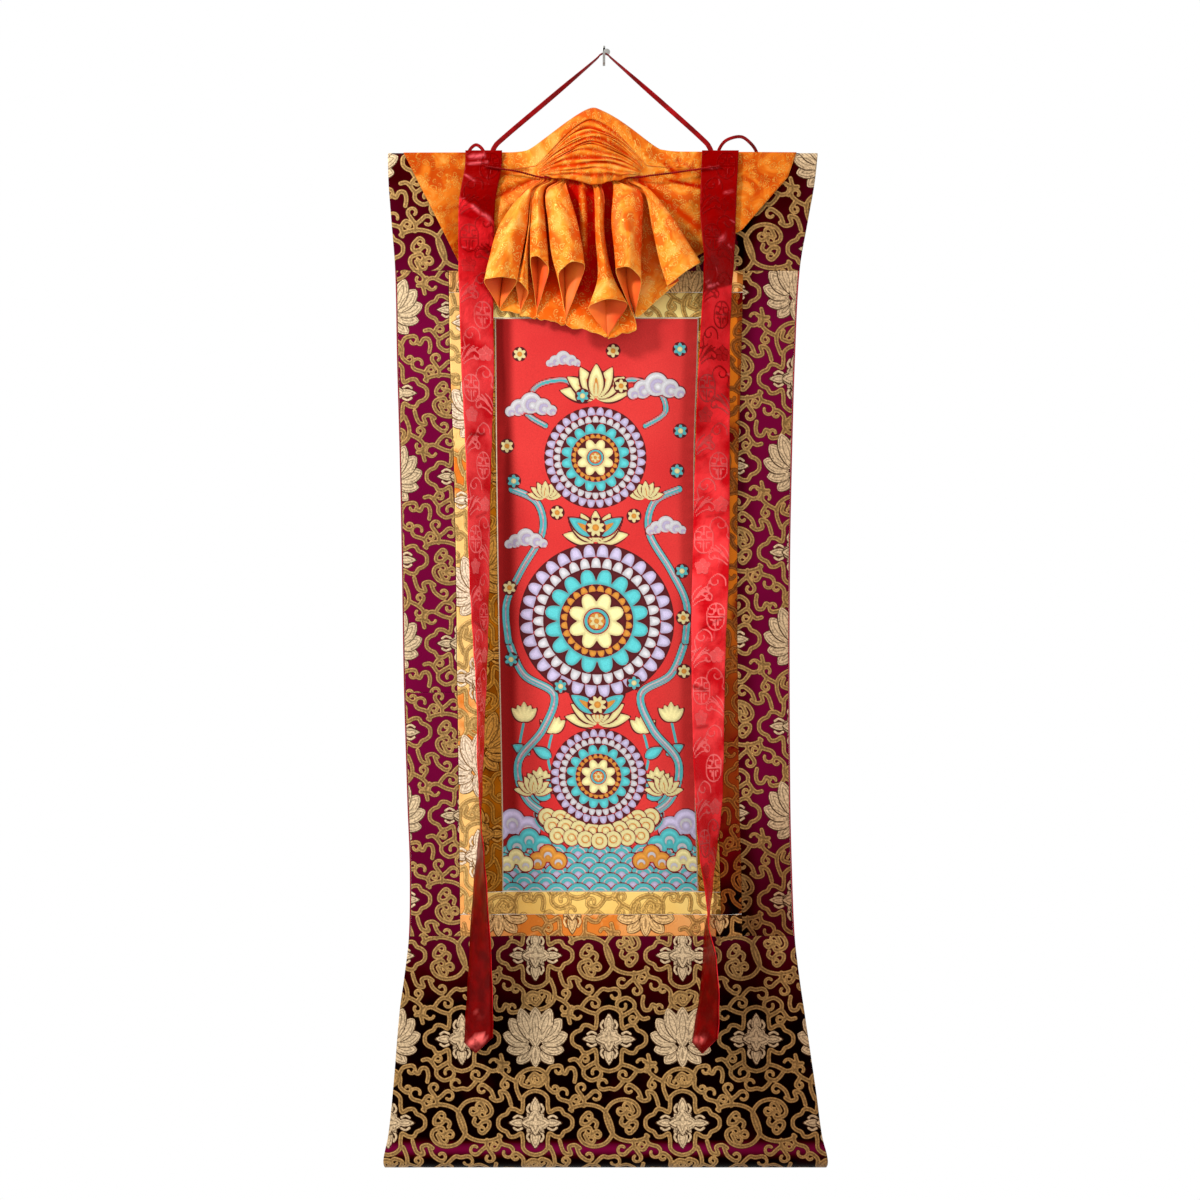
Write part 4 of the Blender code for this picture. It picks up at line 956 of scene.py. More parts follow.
canvas, tree, shader = new_material("painted cotton")
colour = blend(tree, spread(tree, noise(tree, 9.0, 4.0), 0.35, 0.7), rgb(214, 54, 50),
               rgb(202, 40, 40))
colour = blend(tree, attribute(tree, "side_shade"), colour, rgb(132, 0, 0))
PAINTS = {"lavender": (207, 195, 226), "turquoise": (92, 202, 204), "cream": (253, 238, 168),
          "orange": (240, 160, 62), "maroon": (92, 24, 28), "pale": (226, 224, 226)}
for key, value in PAINTS.items():
    inner = blend(tree, mask(tree, key, -5.0, -0.5), rgb(*[int(v * 0.82) for v in value]),
                  rgb(*value))
    colour = blend(tree, mask(tree, key, -0.35, 0.35), colour, inner)
colour = blend(tree, mask(tree, "edge", 0.9, 1.6), colour, rgb(200, 184, 156))
threads = noise(tree, 700.0)
fleck = spread(tree, threads, 0.3, 0.7, 0.9, 1.06)
plug(tree, shader, {"Base Color": blend(tree, 1.0, colour, fleck, "MULTIPLY"),
                    "Roughness": 0.72, "Specular IOR Level": 0.12})
emboss(tree, shader, threads, 0.2)
canvas_reverse = plain_weave("bare cotton", rgb(206, 196, 172))

fields = dict(paint)
half_width = (x[:, -1:] - x[:, :1]) / 2
fields["edge"] = np.minimum(half_width - np.abs(ACROSS),
                            np.minimum(PICTURE_TOP_Z - z, z - PICTURE_FOOT_Z))
fields["side_shade"] = (0.95 * (1 - ease((ACROSS + half_width - 14) / 12))
                        + 0.45 * ease((ACROSS - half_width + 22) / 10))
points = np.stack([x, cloth_y(x, z) - 0.6, z], axis=-1)
painting = make_cloth("painted_cotton", points, 1.1, 6, fields, (canvas, canvas_reverse))
fit(painting, "painted_cloth")


# Silk veil: one cloth of orange damask over the top edge.  The cord gathers it up at two
# points, so that it stands in pleats above, falls in flutes below and spreads at its sides.

VEIL_TOP_Y, VEIL_WING_Y, VEIL_TIE_Y, SKIRT_BASE_Y = -21.8, -25.0, -31.0, -27.5
TIE_L, TIE_R = (-75.6, -152.0), (42.0, -152.0)
DOME_L, DOME_R = (-90.0, -123.0), (66.0, -122.0)
SIDE_COLUMNS = 47
DOME_BACK = [
    # height in the middle, end's share of the way to the tie, end depth, depth, arch
    (-125.4, 0.0, -21.8, -21.8, 1.0),
    (-99.2, 0.0, -23.2, -22.6, 1.2),
    (-78.0, 0.0, -24.6, -24.2, 1.24),
    (-70.8, 0.0, -26.0, -28.0, 1.25),
    (-74.2, 0.05, -27.2, -32.0, 1.22),
]
RIDGES = (-84.7, -93.8, -97.4, -103.4, -106.4, -112.4, -115.6, -121.0, -127.4, -135.0, -144.6,
          -151.4)
AT = np.array([0.0, 0.1, 0.45, 0.78, 1.0])
FLUTES = [
    # across at those shares of the fall, half width at the same, hem's height, depth, slant
    ((-74, -90, -108, -117.6, -123), (2, 4.5, 16.8, 19.2, 19.8), -277, 31, 0),
    ((-68, -83.6, -89.2, -93.8, -98), (0.6, 1.6, 1.6, 3.4, 8), -283, 20, -12),
    ((-62, -76.4, -78.4, -77.4, -76.6), (2, 5.2, 8.6, 10.8, 11.2), -254, 28, -9),
    ((-49, -56, -49.4, -43.8, -38.6), (3, 12.5, 17, 18.4, 15.8), -262, 36, 12),
    ((-12, -6.2, -4.6, 1.4, 4.6), (3, 5.6, 5.6, 9.4, 23.4), -306, 35, 4),
    ((14, 27, 27, 28, 29.2), (4, 16, 18.4, 16, 15.2), -269, 43, -14),
    ((32, 50, 69.3, 83.5, 95), (3, 3, 12.3, 17.5, 20), -273, 34, 24),
]
VALLEYS = [
    # left side at the same shares, right side there, hem's height left and right, redness as
    # painted shade, and how far its lower half comes forward
    ((-75.6, -94, -113, -122, -125), (-75.6, -94, -113, -122, -125), -311, -311, 0.6, 0),
    ((-72.4, -90.5, -112.4, -121.3, -124.3), (-70.6, -84.2, -90, -94.6, -101), -314, -318, 0.8, 3),
    ((-66, -83.6, -89.4, -94, -100.4), (-64.6, -79, -79.6, -79, -80.6), -321, -321, 0.8, 3),
    ((-58, -76, -79, -78.4, -80), (-56.5, -58, -50.6, -45.6, -46), -322, -331, 0.85, 6),
    ((-40, -55, -50, -45, -45.4), (-22, -7.2, -5.4, 0.6, 4), -333, -347, 1.0, 15),
    ((-2, -6.2, -4.8, 1.2, 4.6), (6, 24, 26, 28.6, 38.6), -348, -336, 1.0, 15),
    ((28, 26, 26.6, 29, 39.2), (30, 48, 62, 80, 88), -322, -282, 0.5, 9),
    ((42, 50, 64, 82, 90), (42, 53.6, 82, 104, 118), -262, -262, 0.95, 0),
]
CREASES = [
    # from x, height, to x, height, half width at the far end, rise (minus for a trough)
    (44, -158, 118, -194, 9, 5.0), (46, -160, 112, -212, 6, -2.6), (46, -166, 84, -214, 4, 5.0),
    (84, -214, 119, -255, 5, 5.0), (74, -156, 118, -165, 3.5, -4.0), (52, -118, 84, -147, 3, -4.0),
    (64, -128, 114, -148, 6, 4.0), (80, -128, 118, -150, 3, -2.6), (60, -148, 112, -140, 5, 2.0),
    (-76, -158, -126, -198, 6, 3.5), (-80, -153, -132, -166, 4, 3.2),
    (-82, -155, -128, -176, 3, -3.0), (-86, -143, -132, -134, 5, 2.6), (-84, -146, -130, -149, 3, -2),
]


def mix(a, b, t):
    return a + (b - a) * t


def refine(grid, down, across):
    """Smooth surface through a coarse grid, with more rows and columns."""
    def along(p, steps):
        t = np.linspace(0, len(p) - 1, (len(p) - 1) * steps + 1)
        i = np.minimum(t.astype(int), len(p) - 2)
        f = (t - i)[:, None, None]
        a, b, c, d = p[np.maximum(i - 1, 0)], p[i], p[i + 1], p[np.minimum(i + 2, len(p) - 1)]
        return 0.5 * (2 * b + (c - a) * f + (2 * a - 5 * b + 4 * c - d) * f**2
                      + (3 * b - a - 3 * c + d) * f**3)
    return along(along(grid, down).transpose(1, 0, 2), across).transpose(1, 0, 2)


def arch(power, s, lean=1.0):
    return np.sin(math.pi * np.clip(s, 0, 1) ** lean) ** power


def peak(power, s):
    """The same arch drawn up to a peak, as the veil's top edge is."""
    roof = 1.04 - np.sqrt((2 * np.clip(s, 0, 1) ** 0.96 - 1) ** 2 + 0.0016)
    return mix(arch(power, s, 1.08), np.maximum(roof, 0) ** 0.95, 0.62 if power > 1 else 0.3)


rows = [row + (0.0, 0.0) for row in DOME_BACK]
for k, height in enumerate(RIDGES):
    t = k / (len(RIDGES) - 1)
    share, power = mix(0.62, 0.98, t), mix(1.0, 0.62, t)
    after = RIDGES[k + 1] if t < 1 else -157.0
    y, edge_y = VEIL_TIE_Y - 4 - 11 * t ** 0.8, mix(-27.2, VEIL_TIE_Y, share)
    rows.append((height, share, edge_y, y, power, 0.0, 0.0))
    # The row under each ridge is its groove; its hollow value paints the groove redder: painted shade.
    rows.append((mix(height, after, 0.42), share + 0.01, edge_y,
                 y + (1.8 if height - after > 5 else 1.0) * (1 + 0.4 * math.sin(2.3 * k)), power,
                 0.72 + 0.2 * math.sin(1.7 * k), 2.6 if 2 < k < 7 else 0.4))
rows.append((-157.4, 0.985, VEIL_TIE_Y, VEIL_TIE_Y - 12.2, 0.66, 0.0, 0.0))
rows.append((-161.8, 0.99, VEIL_TIE_Y, VEIL_TIE_Y - 9.0, 0.66, 0.6, 0.0))
rows.append((-152.0, 1.0, VEIL_TIE_Y, VEIL_TIE_Y, 1.0, 1.0, 0.0))
first, last = len(DOME_BACK), len(DOME_BACK) + 2 * len(RIDGES) - 1
s = np.linspace(0, 1, 17)
lines = []
for k, (height, share, edge_y, y, power, hollow, gap) in enumerate(rows):
    aside = 2.0 * max(edge_y - mix(VEIL_TOP_Y, VEIL_TIE_Y, 0.45), 0.0)
    low = mix(DOME_L[0], TIE_L[0], share) - aside, mix(DOME_L[1], TIE_L[1], share)
    high = mix(DOME_R[0], TIE_R[0], share) + aside, mix(DOME_R[1], TIE_R[1], share)
    stray = arch(1, s) * (1.4 * np.sin(5.2 * s + 1.9 * (k // 2)) + 0.7 * np.sin(12 * s + k // 2)
                          ) * (first < k < last)
    sag = -3.0 * np.exp(-((s - 0.6) / 0.16) ** 2) * (last < k < last + 3)
    lines.append(np.stack([mix(low[0], high[0], s),
                           mix(edge_y, y, arch(0.7, s)) + gap * np.exp(-((s - 0.77) / 0.1) ** 2),
                           mix(mix(low[1], high[1], s), height, peak(power, s)) + stray + sag,
                           hollow * np.sqrt(arch(0.7, s))], axis=-1))
dome = refine(np.array(lines), 4, 6)
s = np.linspace(0, 1, dome.shape[1])[None, :]
from_back = np.linspace(0, len(rows), len(dome))[:, None]
loose = arch(0.7, s) * ease((from_back - 4.5) / 3) * ease((31.5 - from_back) / 2)
dome[..., 2] += loose * 0.7 * np.sin(11 * s + 1.1 * np.floor(from_back / 2))
dome[..., 1] += loose * (0.7 * np.sin(9 * s + 1.3 * from_back)
                         + 0.35 * np.sin(31 * s + 2.3 * from_back))
ruffle = ease((from_back - 27.2) / 1.5) * ease((len(rows) - from_back) / 1.2) * arch(0.6, s)
dome[..., 1] += ruffle * 1.5 * np.sin(46 * s + 3 * np.sin(9 * s))
dome[..., 2] += ruffle * 1.2 * np.sin(23 * s + 2 * np.sin(7 * s))

nodes = []
for k, (left, right, left_z, right_z, red, forward) in enumerate(VALLEYS):
    sides = [(left, left_z), (right, right_z)]
    if k == 0:
        sides = sides[1:]
    elif k == len(FLUTES):
        sides = sides[:1]
    for side, hem in sides:
        nodes.append((*side, hem, 0.0, red, forward))
    if k < len(FLUTES):
        centre, half, hem, depth, slant = FLUTES[k]
        # A flute's flanks are painted redder by the valley's redness, the right flank more: painted
        # shade on the side away from the light.
        for side in (-1, 0, 1):
            drop = 0.13 * (hem - (VALLEYS[k + 1][2] if side > 0 else right_z)) if side else 0.0
            nodes.append((*(np.array(centre) + side * np.array(half)),
                          hem - drop + side * slant / 2, depth * (1.0 - 0.42 * abs(side)),
                          (0.62 + 0.2 * side) * abs(side) * red, 0.0))
nodes = np.array(nodes)
columns = [nodes[0]]
for k in range(len(nodes) - 1):
    a, b, c, d = nodes[max(k - 1, 0)], nodes[k], nodes[k + 1], nodes[min(k + 2, len(nodes) - 1)]
    middle = (b + c) / 2 + (b - a + c - d) * 0.035
    if b[6] == 0.0 or c[6] == 0.0:
        middle[5] = mix(min(b[5], c[5]), max(b[5], c[5]), 0.5)
    columns += [middle, c]
columns = np.array(columns)
hem_z, depth, hollow, late = columns[:, 5:].T
falls = np.vstack([-AT, columns[:, :5]]).T
rows = []
for t in np.linspace(0, 1, 15):
    across = [float(value_at(falls, k + 1, np.array([-t]))[0]) for k in range(len(columns))]
    swell = 0.02 + 0.98 * math.sin(t * math.pi / 2) ** 0.8
    y = mix(VEIL_TIE_Y, SKIRT_BASE_Y, ease(t * 1.6)) - depth * swell - late * ease(t * 2 - 1)
    rows.append(np.stack([across, y, mix(-159.5, hem_z, t),
                          hollow * (1 - 0.85 * ease(t * 3 - 2))], axis=-1))
skirt = refine(np.array([rows[0] * (1, 1, 0, 1) + (0, 0, -152.0, 0)] + rows), 4, 5)
c = np.linspace(0, 70, skirt.shape[1])[None, :]
t = np.linspace(0, 1, skirt.shape[0])[:, None]
slack = ease(t * 4) * (1 - 0.35 * t)
skirt[..., 1] += slack * (0.8 * np.sin(1.9 * c + 5 * t) + 0.5 * np.sin(3.7 * c - 11 * t))
gathers = ease(t * 9) * (1 - ease((t - 0.06) * 3.2))
skirt[..., 1] += gathers * (1.3 * np.sin(2.3 * c + 1.3 * np.sin(0.7 * c)) - 1.0)
# A strand stands forward; its lower fold value paints it lighter, as a painted highlight.
strand = np.exp(-((skirt[..., 0] + 26 - 3 * t) / 2.4) ** 2) * ease(t * 9) * (1 - ease((t - 0.4) * 5))
skirt[..., 1] -= 9 * strand
skirt[..., 3] -= 0.8 * strand
skirt[..., 2] += ease(t * 2 - 1) * 1.2 * np.sin(0.83 * c + 1.7 * np.sin(0.31 * c))
skirt[-1, :, 2] += 0.9 * np.sin(9 * c[0]) * (skirt[-1, :, 2] < -325)
# The hem row gets a fold value of -1, which the damask paints pale: a painted highlight along the
# hems.
skirt[-1, :, 3] = -1.0
skirt[0, :, :3] = np.stack([skirt[0, :, 0], np.full(skirt.shape[1], VEIL_TIE_Y),
                            np.full(skirt.shape[1], -152.0)], axis=-1)


def steps_along(points):
    """Length so far along a line of points."""
    return np.concatenate([[0], np.cumsum(np.linalg.norm(np.diff(points, axis=0), axis=1))])


def wing(top_far, corner, dome_side, skirt_side, tie, way):
    """One flat side of the veil, its creases running out from the tie."""
    inner = np.vstack([dome_side, skirt_side[1:]])
    above, below = steps_along(dome_side[:, :3]), steps_along(skirt_side[:, :3])
    t = np.concatenate([0.4 * above / above[-1], 0.4 + 0.6 * below[1:] / below[-1]])[:, None]
    w = np.linspace(0, 1, SIDE_COLUMNS)[None, :]
    grid = np.zeros((len(t), SIDE_COLUMNS, 4))
    for axis, near, far_corner in ((0, inner[0, 0], corner[0]), (2, inner[0, 2], corner[1])):
        k = axis // 2
        top = mix(top_far[k], near, w)
        hem = mix(far_corner, inner[-1, axis], w)
        pinch = mix(mix(top_far[k], corner[k], 0.3) + (9.0 * way, -2.0)[k] * (way > 0), tie[k], w)
        place = np.where(t < 0.4, mix(top, pinch, t / 0.4), mix(pinch, hem, (t - 0.4) / 0.6))
        grid[..., axis] = place + (inner[:, axis] - place[:, -1])[:, None] * w**3
    x, z = grid[..., 0], grid[..., 2]
    flat = mix(VEIL_TOP_Y, VEIL_WING_Y, ease((-152.0 - z) / 28.0))
    angle = np.arctan2(z - tie[1], np.abs(x - tie[0]) + 8.0)
    span = np.hypot(x - tie[0], z - tie[1])
    fan = 0.5 + 0.5 * np.sin(angle * 21 + 1 + 0.02 * span)
    relief = 0.5 * fan * ease((span - 4) / 20) * ease((-126 - z) / 14)
    red = 0.0 * z
    for x1, z1, x2, z2, wide, rise in CREASES:
        length = math.hypot(x2 - x1, z2 - z1)
        run = ((x - x1) * (x2 - x1) + (z - z1) * (z2 - z1)) / length**2
        off = ((x - x1) * (z2 - z1) - (z - z1) * (x2 - x1)) / length
        fold = (np.exp(-(off / mix(1.4, wide, np.clip(run, 0, 1))) ** 2)
                * ease(run * 4 + 0.3) * ease((1.25 - run) * 4))
        relief = relief + rise * fold
        # Troughs are painted redder: painted shade in the creases.
        red = red + np.maximum(-rise, 0) * 0.24 * fold
    relief = relief * ease((121.5 - np.abs(x + 9.5)) / 14)
    inward = np.clip(w, 0, 1) ** 9
    grid[..., 1] = mix(flat, inner[:, 1][:, None], inward) - np.maximum(relief, -1.5) * (1 - inward)
    grid[..., 1] = np.minimum(grid[..., 1], -21.6)
    grid[..., 3] = mix(0.05 + np.clip(red, 0, 0.9), inner[:, 3][:, None], w**12)
    return grid if way < 0 else grid[:, ::-1]


wing_l = wing((-240.6, -123.4), (-172.8, -258.0), dome[:, 0], skirt[:, 0], TIE_L, -1)
wing_r = wing((231.0, -123.0), (166.0, -216.0), dome[:, -1], skirt[:, -1], TIE_R, 1)

damask, tree, shader = new_material("veil damask silk")
spot = wire(tree, "SeparateXYZ", {0: wire(tree, "UVMap", uv_map="weave").outputs[0]})
CURLS = [
    # across, up, radius, wind: the tile is 34 by 28 mm
    (5, 6, 5.0, 1), (14, 11, 3.4, -1), (6, 17, 3.8, -1), (22, 6, 3.2, -1), (30, 11, 4.8, 1),
    (23, 18, 4.2, 1), (13, 23, 4.6, 1), (31, 24, 3.4, -1),
]
BLOSSOMS = [
    # across, up, size
    (14, 2.5, 4.4), (31, 17.6, 3.8), (22, 12.5, 2.8),
]
HALF_TILE = (17.0, 14.0)
sway = wire(tree, "SeparateColor", {0: wire(tree, "TexNoise", {
    "Vector": wire(tree, "TexCoord").outputs["Object"], "Scale": 95.0,
    "Detail": 1.0}).outputs["Color"]})


def from_spot(place):
    """Steps across and up from the nearest copy of a place, and the distance to it."""
    steps = []
    for k, half in enumerate(HALF_TILE):
        step = calc(tree, "SUBTRACT", spot.outputs[k], place[k])
        step = calc(tree, "MULTIPLY_ADD", sway.outputs[k], 11.0, step)
        steps.append(calc(tree, "WRAP", step, half, -half))
    dx, dy = steps
    square = calc(tree, "MULTIPLY_ADD", dx, dx, calc(tree, "MULTIPLY", dy, dy))
    return dx, dy, calc(tree, "SQRT", square)


figures = 0.0
for cx, cy, radius, wind in CURLS:
    dx, dy, r = from_spot((cx, cy))
    turns = calc(tree, "MULTIPLY", calc(tree, "ARCTAN2", dy, dx), wind / (2 * math.pi))
    phase = calc(tree, "FRACT", calc(tree, "MULTIPLY_ADD", r, 0.35, turns))
    off = calc(tree, "ABSOLUTE", calc(tree, "SUBTRACT", phase, 0.5))
    curl = calc(tree, "MULTIPLY", calc(tree, "LESS_THAN", off, 0.2),
                calc(tree, "LESS_THAN", r, radius))
    figures = calc(tree, "MAXIMUM", figures, curl)
for cx, cy, size in BLOSSOMS:
    dx, dy, r = from_spot((cx, cy))
    lobes = calc(tree, "COSINE", calc(tree, "MULTIPLY", calc(tree, "ARCTAN2", dy, dx), 9.0))
    rays = calc(tree, "MULTIPLY", calc(tree, "GREATER_THAN", lobes, -0.35),
                calc(tree, "GREATER_THAN", r, size * 0.42))
    rays = calc(tree, "MAXIMUM", rays, calc(tree, "LESS_THAN", r, size * 0.24))
    rim = calc(tree, "LESS_THAN", calc(tree, "MULTIPLY_ADD", lobes, -0.6, r), size)
    figures = calc(tree, "MAXIMUM", figures, calc(tree, "MULTIPLY", rim, rays))
patchy = noise(tree, 42.0, 5.0)
shown = calc(tree, "MULTIPLY", figures, spread(tree, patchy, 0.33, 0.46))
shown = calc(tree, "MULTIPLY", shown, spread(tree, noise(tree, 520.0), 0.42, 0.56, 0.3))
fold = attribute(tree, "fold")
# The satin noise paints broad lighter and darker patches and golden highlights: painted sheen and
# shade of the silk's crumples.
satin = noise(tree, 30.0, 6.0, 1.2)
colour = blend(tree, spread(tree, satin, 0.42, 0.56), rgb(224, 98, 18), rgb(246, 142, 40))
# The damask figures are painted a light gold where patchy noise shows them, less in the folds: painted
# highlights on the woven figure.
lit = calc(tree, "MULTIPLY", shown,
           calc(tree, "SUBTRACT", 0.7, calc(tree, "MULTIPLY", fold, 0.6)))
# The fold attribute paints the hollows red-orange and deep red as painted shade; its negative values,
# at the hems and a strand, paint pale as a painted highlight.
for amount, tone in ((spread(tree, satin, 0.56, 0.7, 0.0, 0.6), rgb(255, 196, 104)),
                     (spread(tree, fold, 0.1, 0.6), rgb(212, 62, 0)),
                     (spread(tree, fold, 0.6, 1.0), rgb(180, 4, 0)), (lit, rgb(255, 208, 104)),
                     (spread(tree, fold, -0.95, -0.5, 1.0, 0.0), rgb(255, 178, 76))):
    colour = blend(tree, amount, colour, tone)
# Painted shade: the dim attribute darkens the silk where it is set.
dim = calc(tree, "MULTIPLY", attribute(tree, "dim"), spread(tree, satin, 0.3, 0.7, 1.0, 0.6))
colour = blend(tree, dim, colour, blend(tree, 1.0, colour, (0.5, 0.25, 0.02, 1.0), "MULTIPLY"))
plug(tree, shader, {"Base Color": colour, "Specular Tint": colour,
                    "Roughness": spread(tree, shown, 0.0, 1.0, 0.44, 0.32),
                    "Specular IOR Level": spread(tree, fold, 0.2, 0.8, 0.6, 0.1)})
height = calc(tree, "ADD", calc(tree, "MULTIPLY", shown, 0.5), calc(tree, "MULTIPLY", patchy, 1.6))
emboss(tree, shader, height, 0.7, 0.9)

# The veil's inside: a redder, darker copy of its silk, as painted shade in the hollows of the flutes.
inner_silk_in_shade, tree, shader = new_material("veil silk inside in painted shade")
colour = blend(tree, spread(tree, noise(tree, 22.0), 0.35, 0.65), rgb(210, 62, 8),
               rgb(244, 116, 38))
plug(tree, shader, {"Base Color": colour, "Roughness": 0.55, "Specular IOR Level": 0.15})

bm = bmesh.new()
fold_layer = bm.verts.layers.float.new("fold")
dim_layer = bm.verts.layers.float.new("dim")
weave_layer = bm.loops.layers.uv.new("weave")
w = np.linspace(0, 1, SIDE_COLUMNS)
# Painted shade: the dims darken the wings away from the gathers, the left one more low down, the dome,
# most at its back, and the sixth flute.
lower_wing_shade = 0.4 * ease((-195 - wing_l[..., 2]) / 45)
dim_l = (0.8 + lower_wing_shade) * (1 - w ** 9)
dim_r = np.repeat(0.85 * (1 - w[::-1] ** 3)[None, :], len(wing_r), axis=0)
dim_dome = np.repeat(0.26 + 0.42 * (1 - ease((from_back - 3) / 3)), dome.shape[1], axis=1)
dim_skirt = 0.3 * np.exp(-((skirt[..., 0] - 28) / 13) ** 2)
skirt_u = steps_along(skirt[int(0.7 * len(skirt)), :, :3])
dome_v = -steps_along(dome[:, dome.shape[1] // 2, :3])[:, None]
for grid, u, v, dims in (
        (dome, dome[..., 0] * 1.4, np.repeat(dome_v, dome.shape[1], axis=1), dim_dome),
        (skirt, np.repeat(skirt_u[None, :], len(skirt), axis=0), skirt[..., 2], dim_skirt),
        (wing_l, wing_l[..., 0], wing_l[..., 2], dim_l),
        (wing_r, wing_r[..., 0], wing_r[..., 2], dim_r)):
    verts = []
    for line, row in zip(grid, dims):
        verts.append([bm.verts.new(p[:3] / 1000) for p in line])
        for vert, p, dim in zip(verts[-1], line, row):
            vert[fold_layer], vert[dim_layer] = p[3], dim
    for i in range(len(verts) - 1):
        for j in range(len(verts[0]) - 1):
            corners = ((i, j), (i + 1, j), (i + 1, j + 1), (i, j + 1))
            face = bm.faces.new([verts[a][b] for a, b in corners])
            face.smooth = True
            for loop, (a, b) in zip(face.loops, corners):
                loop[weave_layer].uv = (u[a, b], v[a, b])
bmesh.ops.remove_doubles(bm, verts=bm.verts, dist=0.00005)
mesh = bpy.data.meshes.new("silk_veil")
bm.to_mesh(mesh)
bm.free()
veil = bpy.data.objects.new("silk_veil", mesh)
bpy.context.scene.collection.objects.link(veil)
mesh.materials.append(damask)
mesh.materials.append(inner_silk_in_shade)
apply_modifier(veil, "SOLIDIFY", thickness=0.0006, offset=-1.0, material_offset=1)
fit(veil, "veil")


# Red ribbons: doubled strips of figured silk, sewn to the top edge, each turning as it
# falls and folded to a point at its lower end.

RIBBON_W, RIBBON_T = 44.0, 1.0
RIBBONS = {
    "left": [
        # height, centre x, turn in degrees
        (-121.5, -144.0, 0.0), (-142.0, -144.8, 0.0), (-187.0, -151.4, 15.0),
        (-258.0, -152.0, 15.0), (-305.0, -151.8, 28.0), (-372.0, -150.6, 31.0),
        (-463.0, -149.0, 47.0), (-539.0, -147.8, 56.0), (-612.0, -147.0, 60.0),
        (-691.0, -145.8, 68.0), (-772.0, -145.2, 79.0), (-851.0, -146.4, 85.0),
        (-924.0, -145.2, 94.0), (-960.0, -145.4, 104.0), (-1020.0, -145.6, 118.0),
        (-1100.0, -146.0, 132.0), (-1184.0, -148.8, 144.0),
    ],
    "right": [
        # height, centre x, turn in degrees
        (-121.5, 139.4, 0.0), (-142.0, 138.4, 0.0), (-194.0, 136.4, 10.0),
        (-250.0, 137.4, 32.0), (-295.0, 135.0, 37.0), (-340.0, 132.6, 35.0),
        (-420.0, 130.2, 26.0), (-499.0, 129.2, 18.0), (-612.0, 127.7, 4.0),
        (-712.0, 124.8, 20.0), (-811.0, 124.0, 30.0), (-900.0, 124.6, 42.0),
        (-970.0, 124.2, 64.0), (-1020.0, 125.3, 82.0), (-1050.0, 123.6, 94.0),
        (-1079.0, 126.0, 107.0), (-1129.0, 125.6, 118.0), (-1184.0, 120.0, 131.0),
    ],
}
CREASES_SHINE = {
    # the silk's creases: height, lean, half depth, middle, half width, shine as painted highlight
    # (minus for painted shade)
    "left": [(-194.5, -0.62, 2.6, 6, 15, 0.8), (-128.0, 0.05, 2.2, -8, 12, 0.8),
             (-136.0, 0.1, 1.2, -6, 14, 0.7), (-163.0, -0.6, 1.4, -14, 9, 0.7),
             (-206.0, -0.25, 1.6, -4, 18, -0.4), (-463.0, 0.05, 1.8, -2, 16, -0.7),
             (-560.0, 0.3, 1.8, 3, 14, -0.5), (-692.0, -0.4, 2.2, 0, 20, -0.5),
             (-1180.0, -0.55, 2.6, 6, 16, 1.0), (-1186.0, -0.5, 1.6, 2, 16, 0.6),
             (-1152.0, 0.8, 1.3, 0, 10, 0.7)],
    "right": [(-284.0, 0.29, 1.6, -10, 8, 0.7), (-142.0, 0.05, 1.4, -8, 9, 0.7),
              (-176.0, 0.3, 1.5, 12, 8, 0.6), (-232.0, 0.8, 3.0, 4, 8, 0.6),
              (-420.0, -0.3, 1.6, 0, 18, -0.4), (-690.0, 0.53, 1.3, 4, 18, -0.6),
              (-768.0, -0.25, 2.4, -12, 12, -0.7), (-810.0, 0.1, 2.2, -8, 12, -0.6),
              (-560.0, 0.2, 1.8, 4, 14, -0.4), (-1178.0, -0.5, 2.6, 10, 12, 0.7)],
}
PAINTED_LIGHT = {
    # how much lighter the silk is painted where it turns to the light, as painted light: depths below
    # the hook, and shares
    "left": ((240, 330, 480, 560, 830, 920), (0.0, 0.9, 1.0, 1.0, 1.0, 0.1)),
    "right": ((330, 430, 620, 850, 950), (-0.2, 0.2, 0.85, 0.85, 0.2)),
}
FRET_WHEEL = [
    ([(-11, 0), (-10.4, 8), (-6, 14), (0, 16), (6, 14), (10.4, 8), (11, 0), (10.4, -8),
      (6, -14), (0, -16), (-6, -14), (-10.4, -8), (-11, 0)], 0),
    ([(0, 16), (0, 6)], 0), ([(-7, 9), (-3.4, 9), (-3.4, 3), (-8, 3)], 0),
    ([(7, 9), (3.4, 9), (3.4, 3), (8, 3)], 0), ([(-9, 0), (9, 0)], 0),
    ([(-7, -4), (-3.4, -4), (-3.4, -10)], 0), ([(7, -4), (3.4, -4), (3.4, -10)], 0),
    ([(0, -3), (0, -14)], 0),
]
LEAF_SPRAY = [
    ([(-12, -10), (-6, -2), (4, 3), (10, 0)], -4), ([(-11, -14), (-3, -8), (7, -5)], 0),
    ([(-14, -6), (-9, 4), (-2, 10)], 0), ([(-9, -6), (-3, 3), (4, 9)], 0),
    ([(-6, -4), (1, 3), (9, 7)], 0),
]
TWO_CURLS = [([(-10, -7), (-8, 2), (0, 7), (7, 3)], -5), ([(8, 2), (12, -6), (11, -14)], 4)]
PLUM = [(0, 0, 10 * math.sin(k * 1.2566), 10 * math.cos(k * 1.2566), 3.5) for k in range(5)]
RIBBON_MOTIFS = [
    # bands, petals, across, up, side it faces
    (FRET_WHEEL, [], 8, 0, 1), (LEAF_SPRAY, [], -9, 27, 1), (TWO_CURLS, [], 9, 44, -1),
    ([], PLUM, -10, 60, 1), (FRET_WHEEL, [], -9, 92, 1), (LEAF_SPRAY, [], 9, 76, -1),
    (TWO_CURLS, [], 8, 112, 1), ([], PLUM, 11, 134, 1), (LEAF_SPRAY, [], -8, 134, 1),
    (TWO_CURLS, [], -6, 158, -1),
]
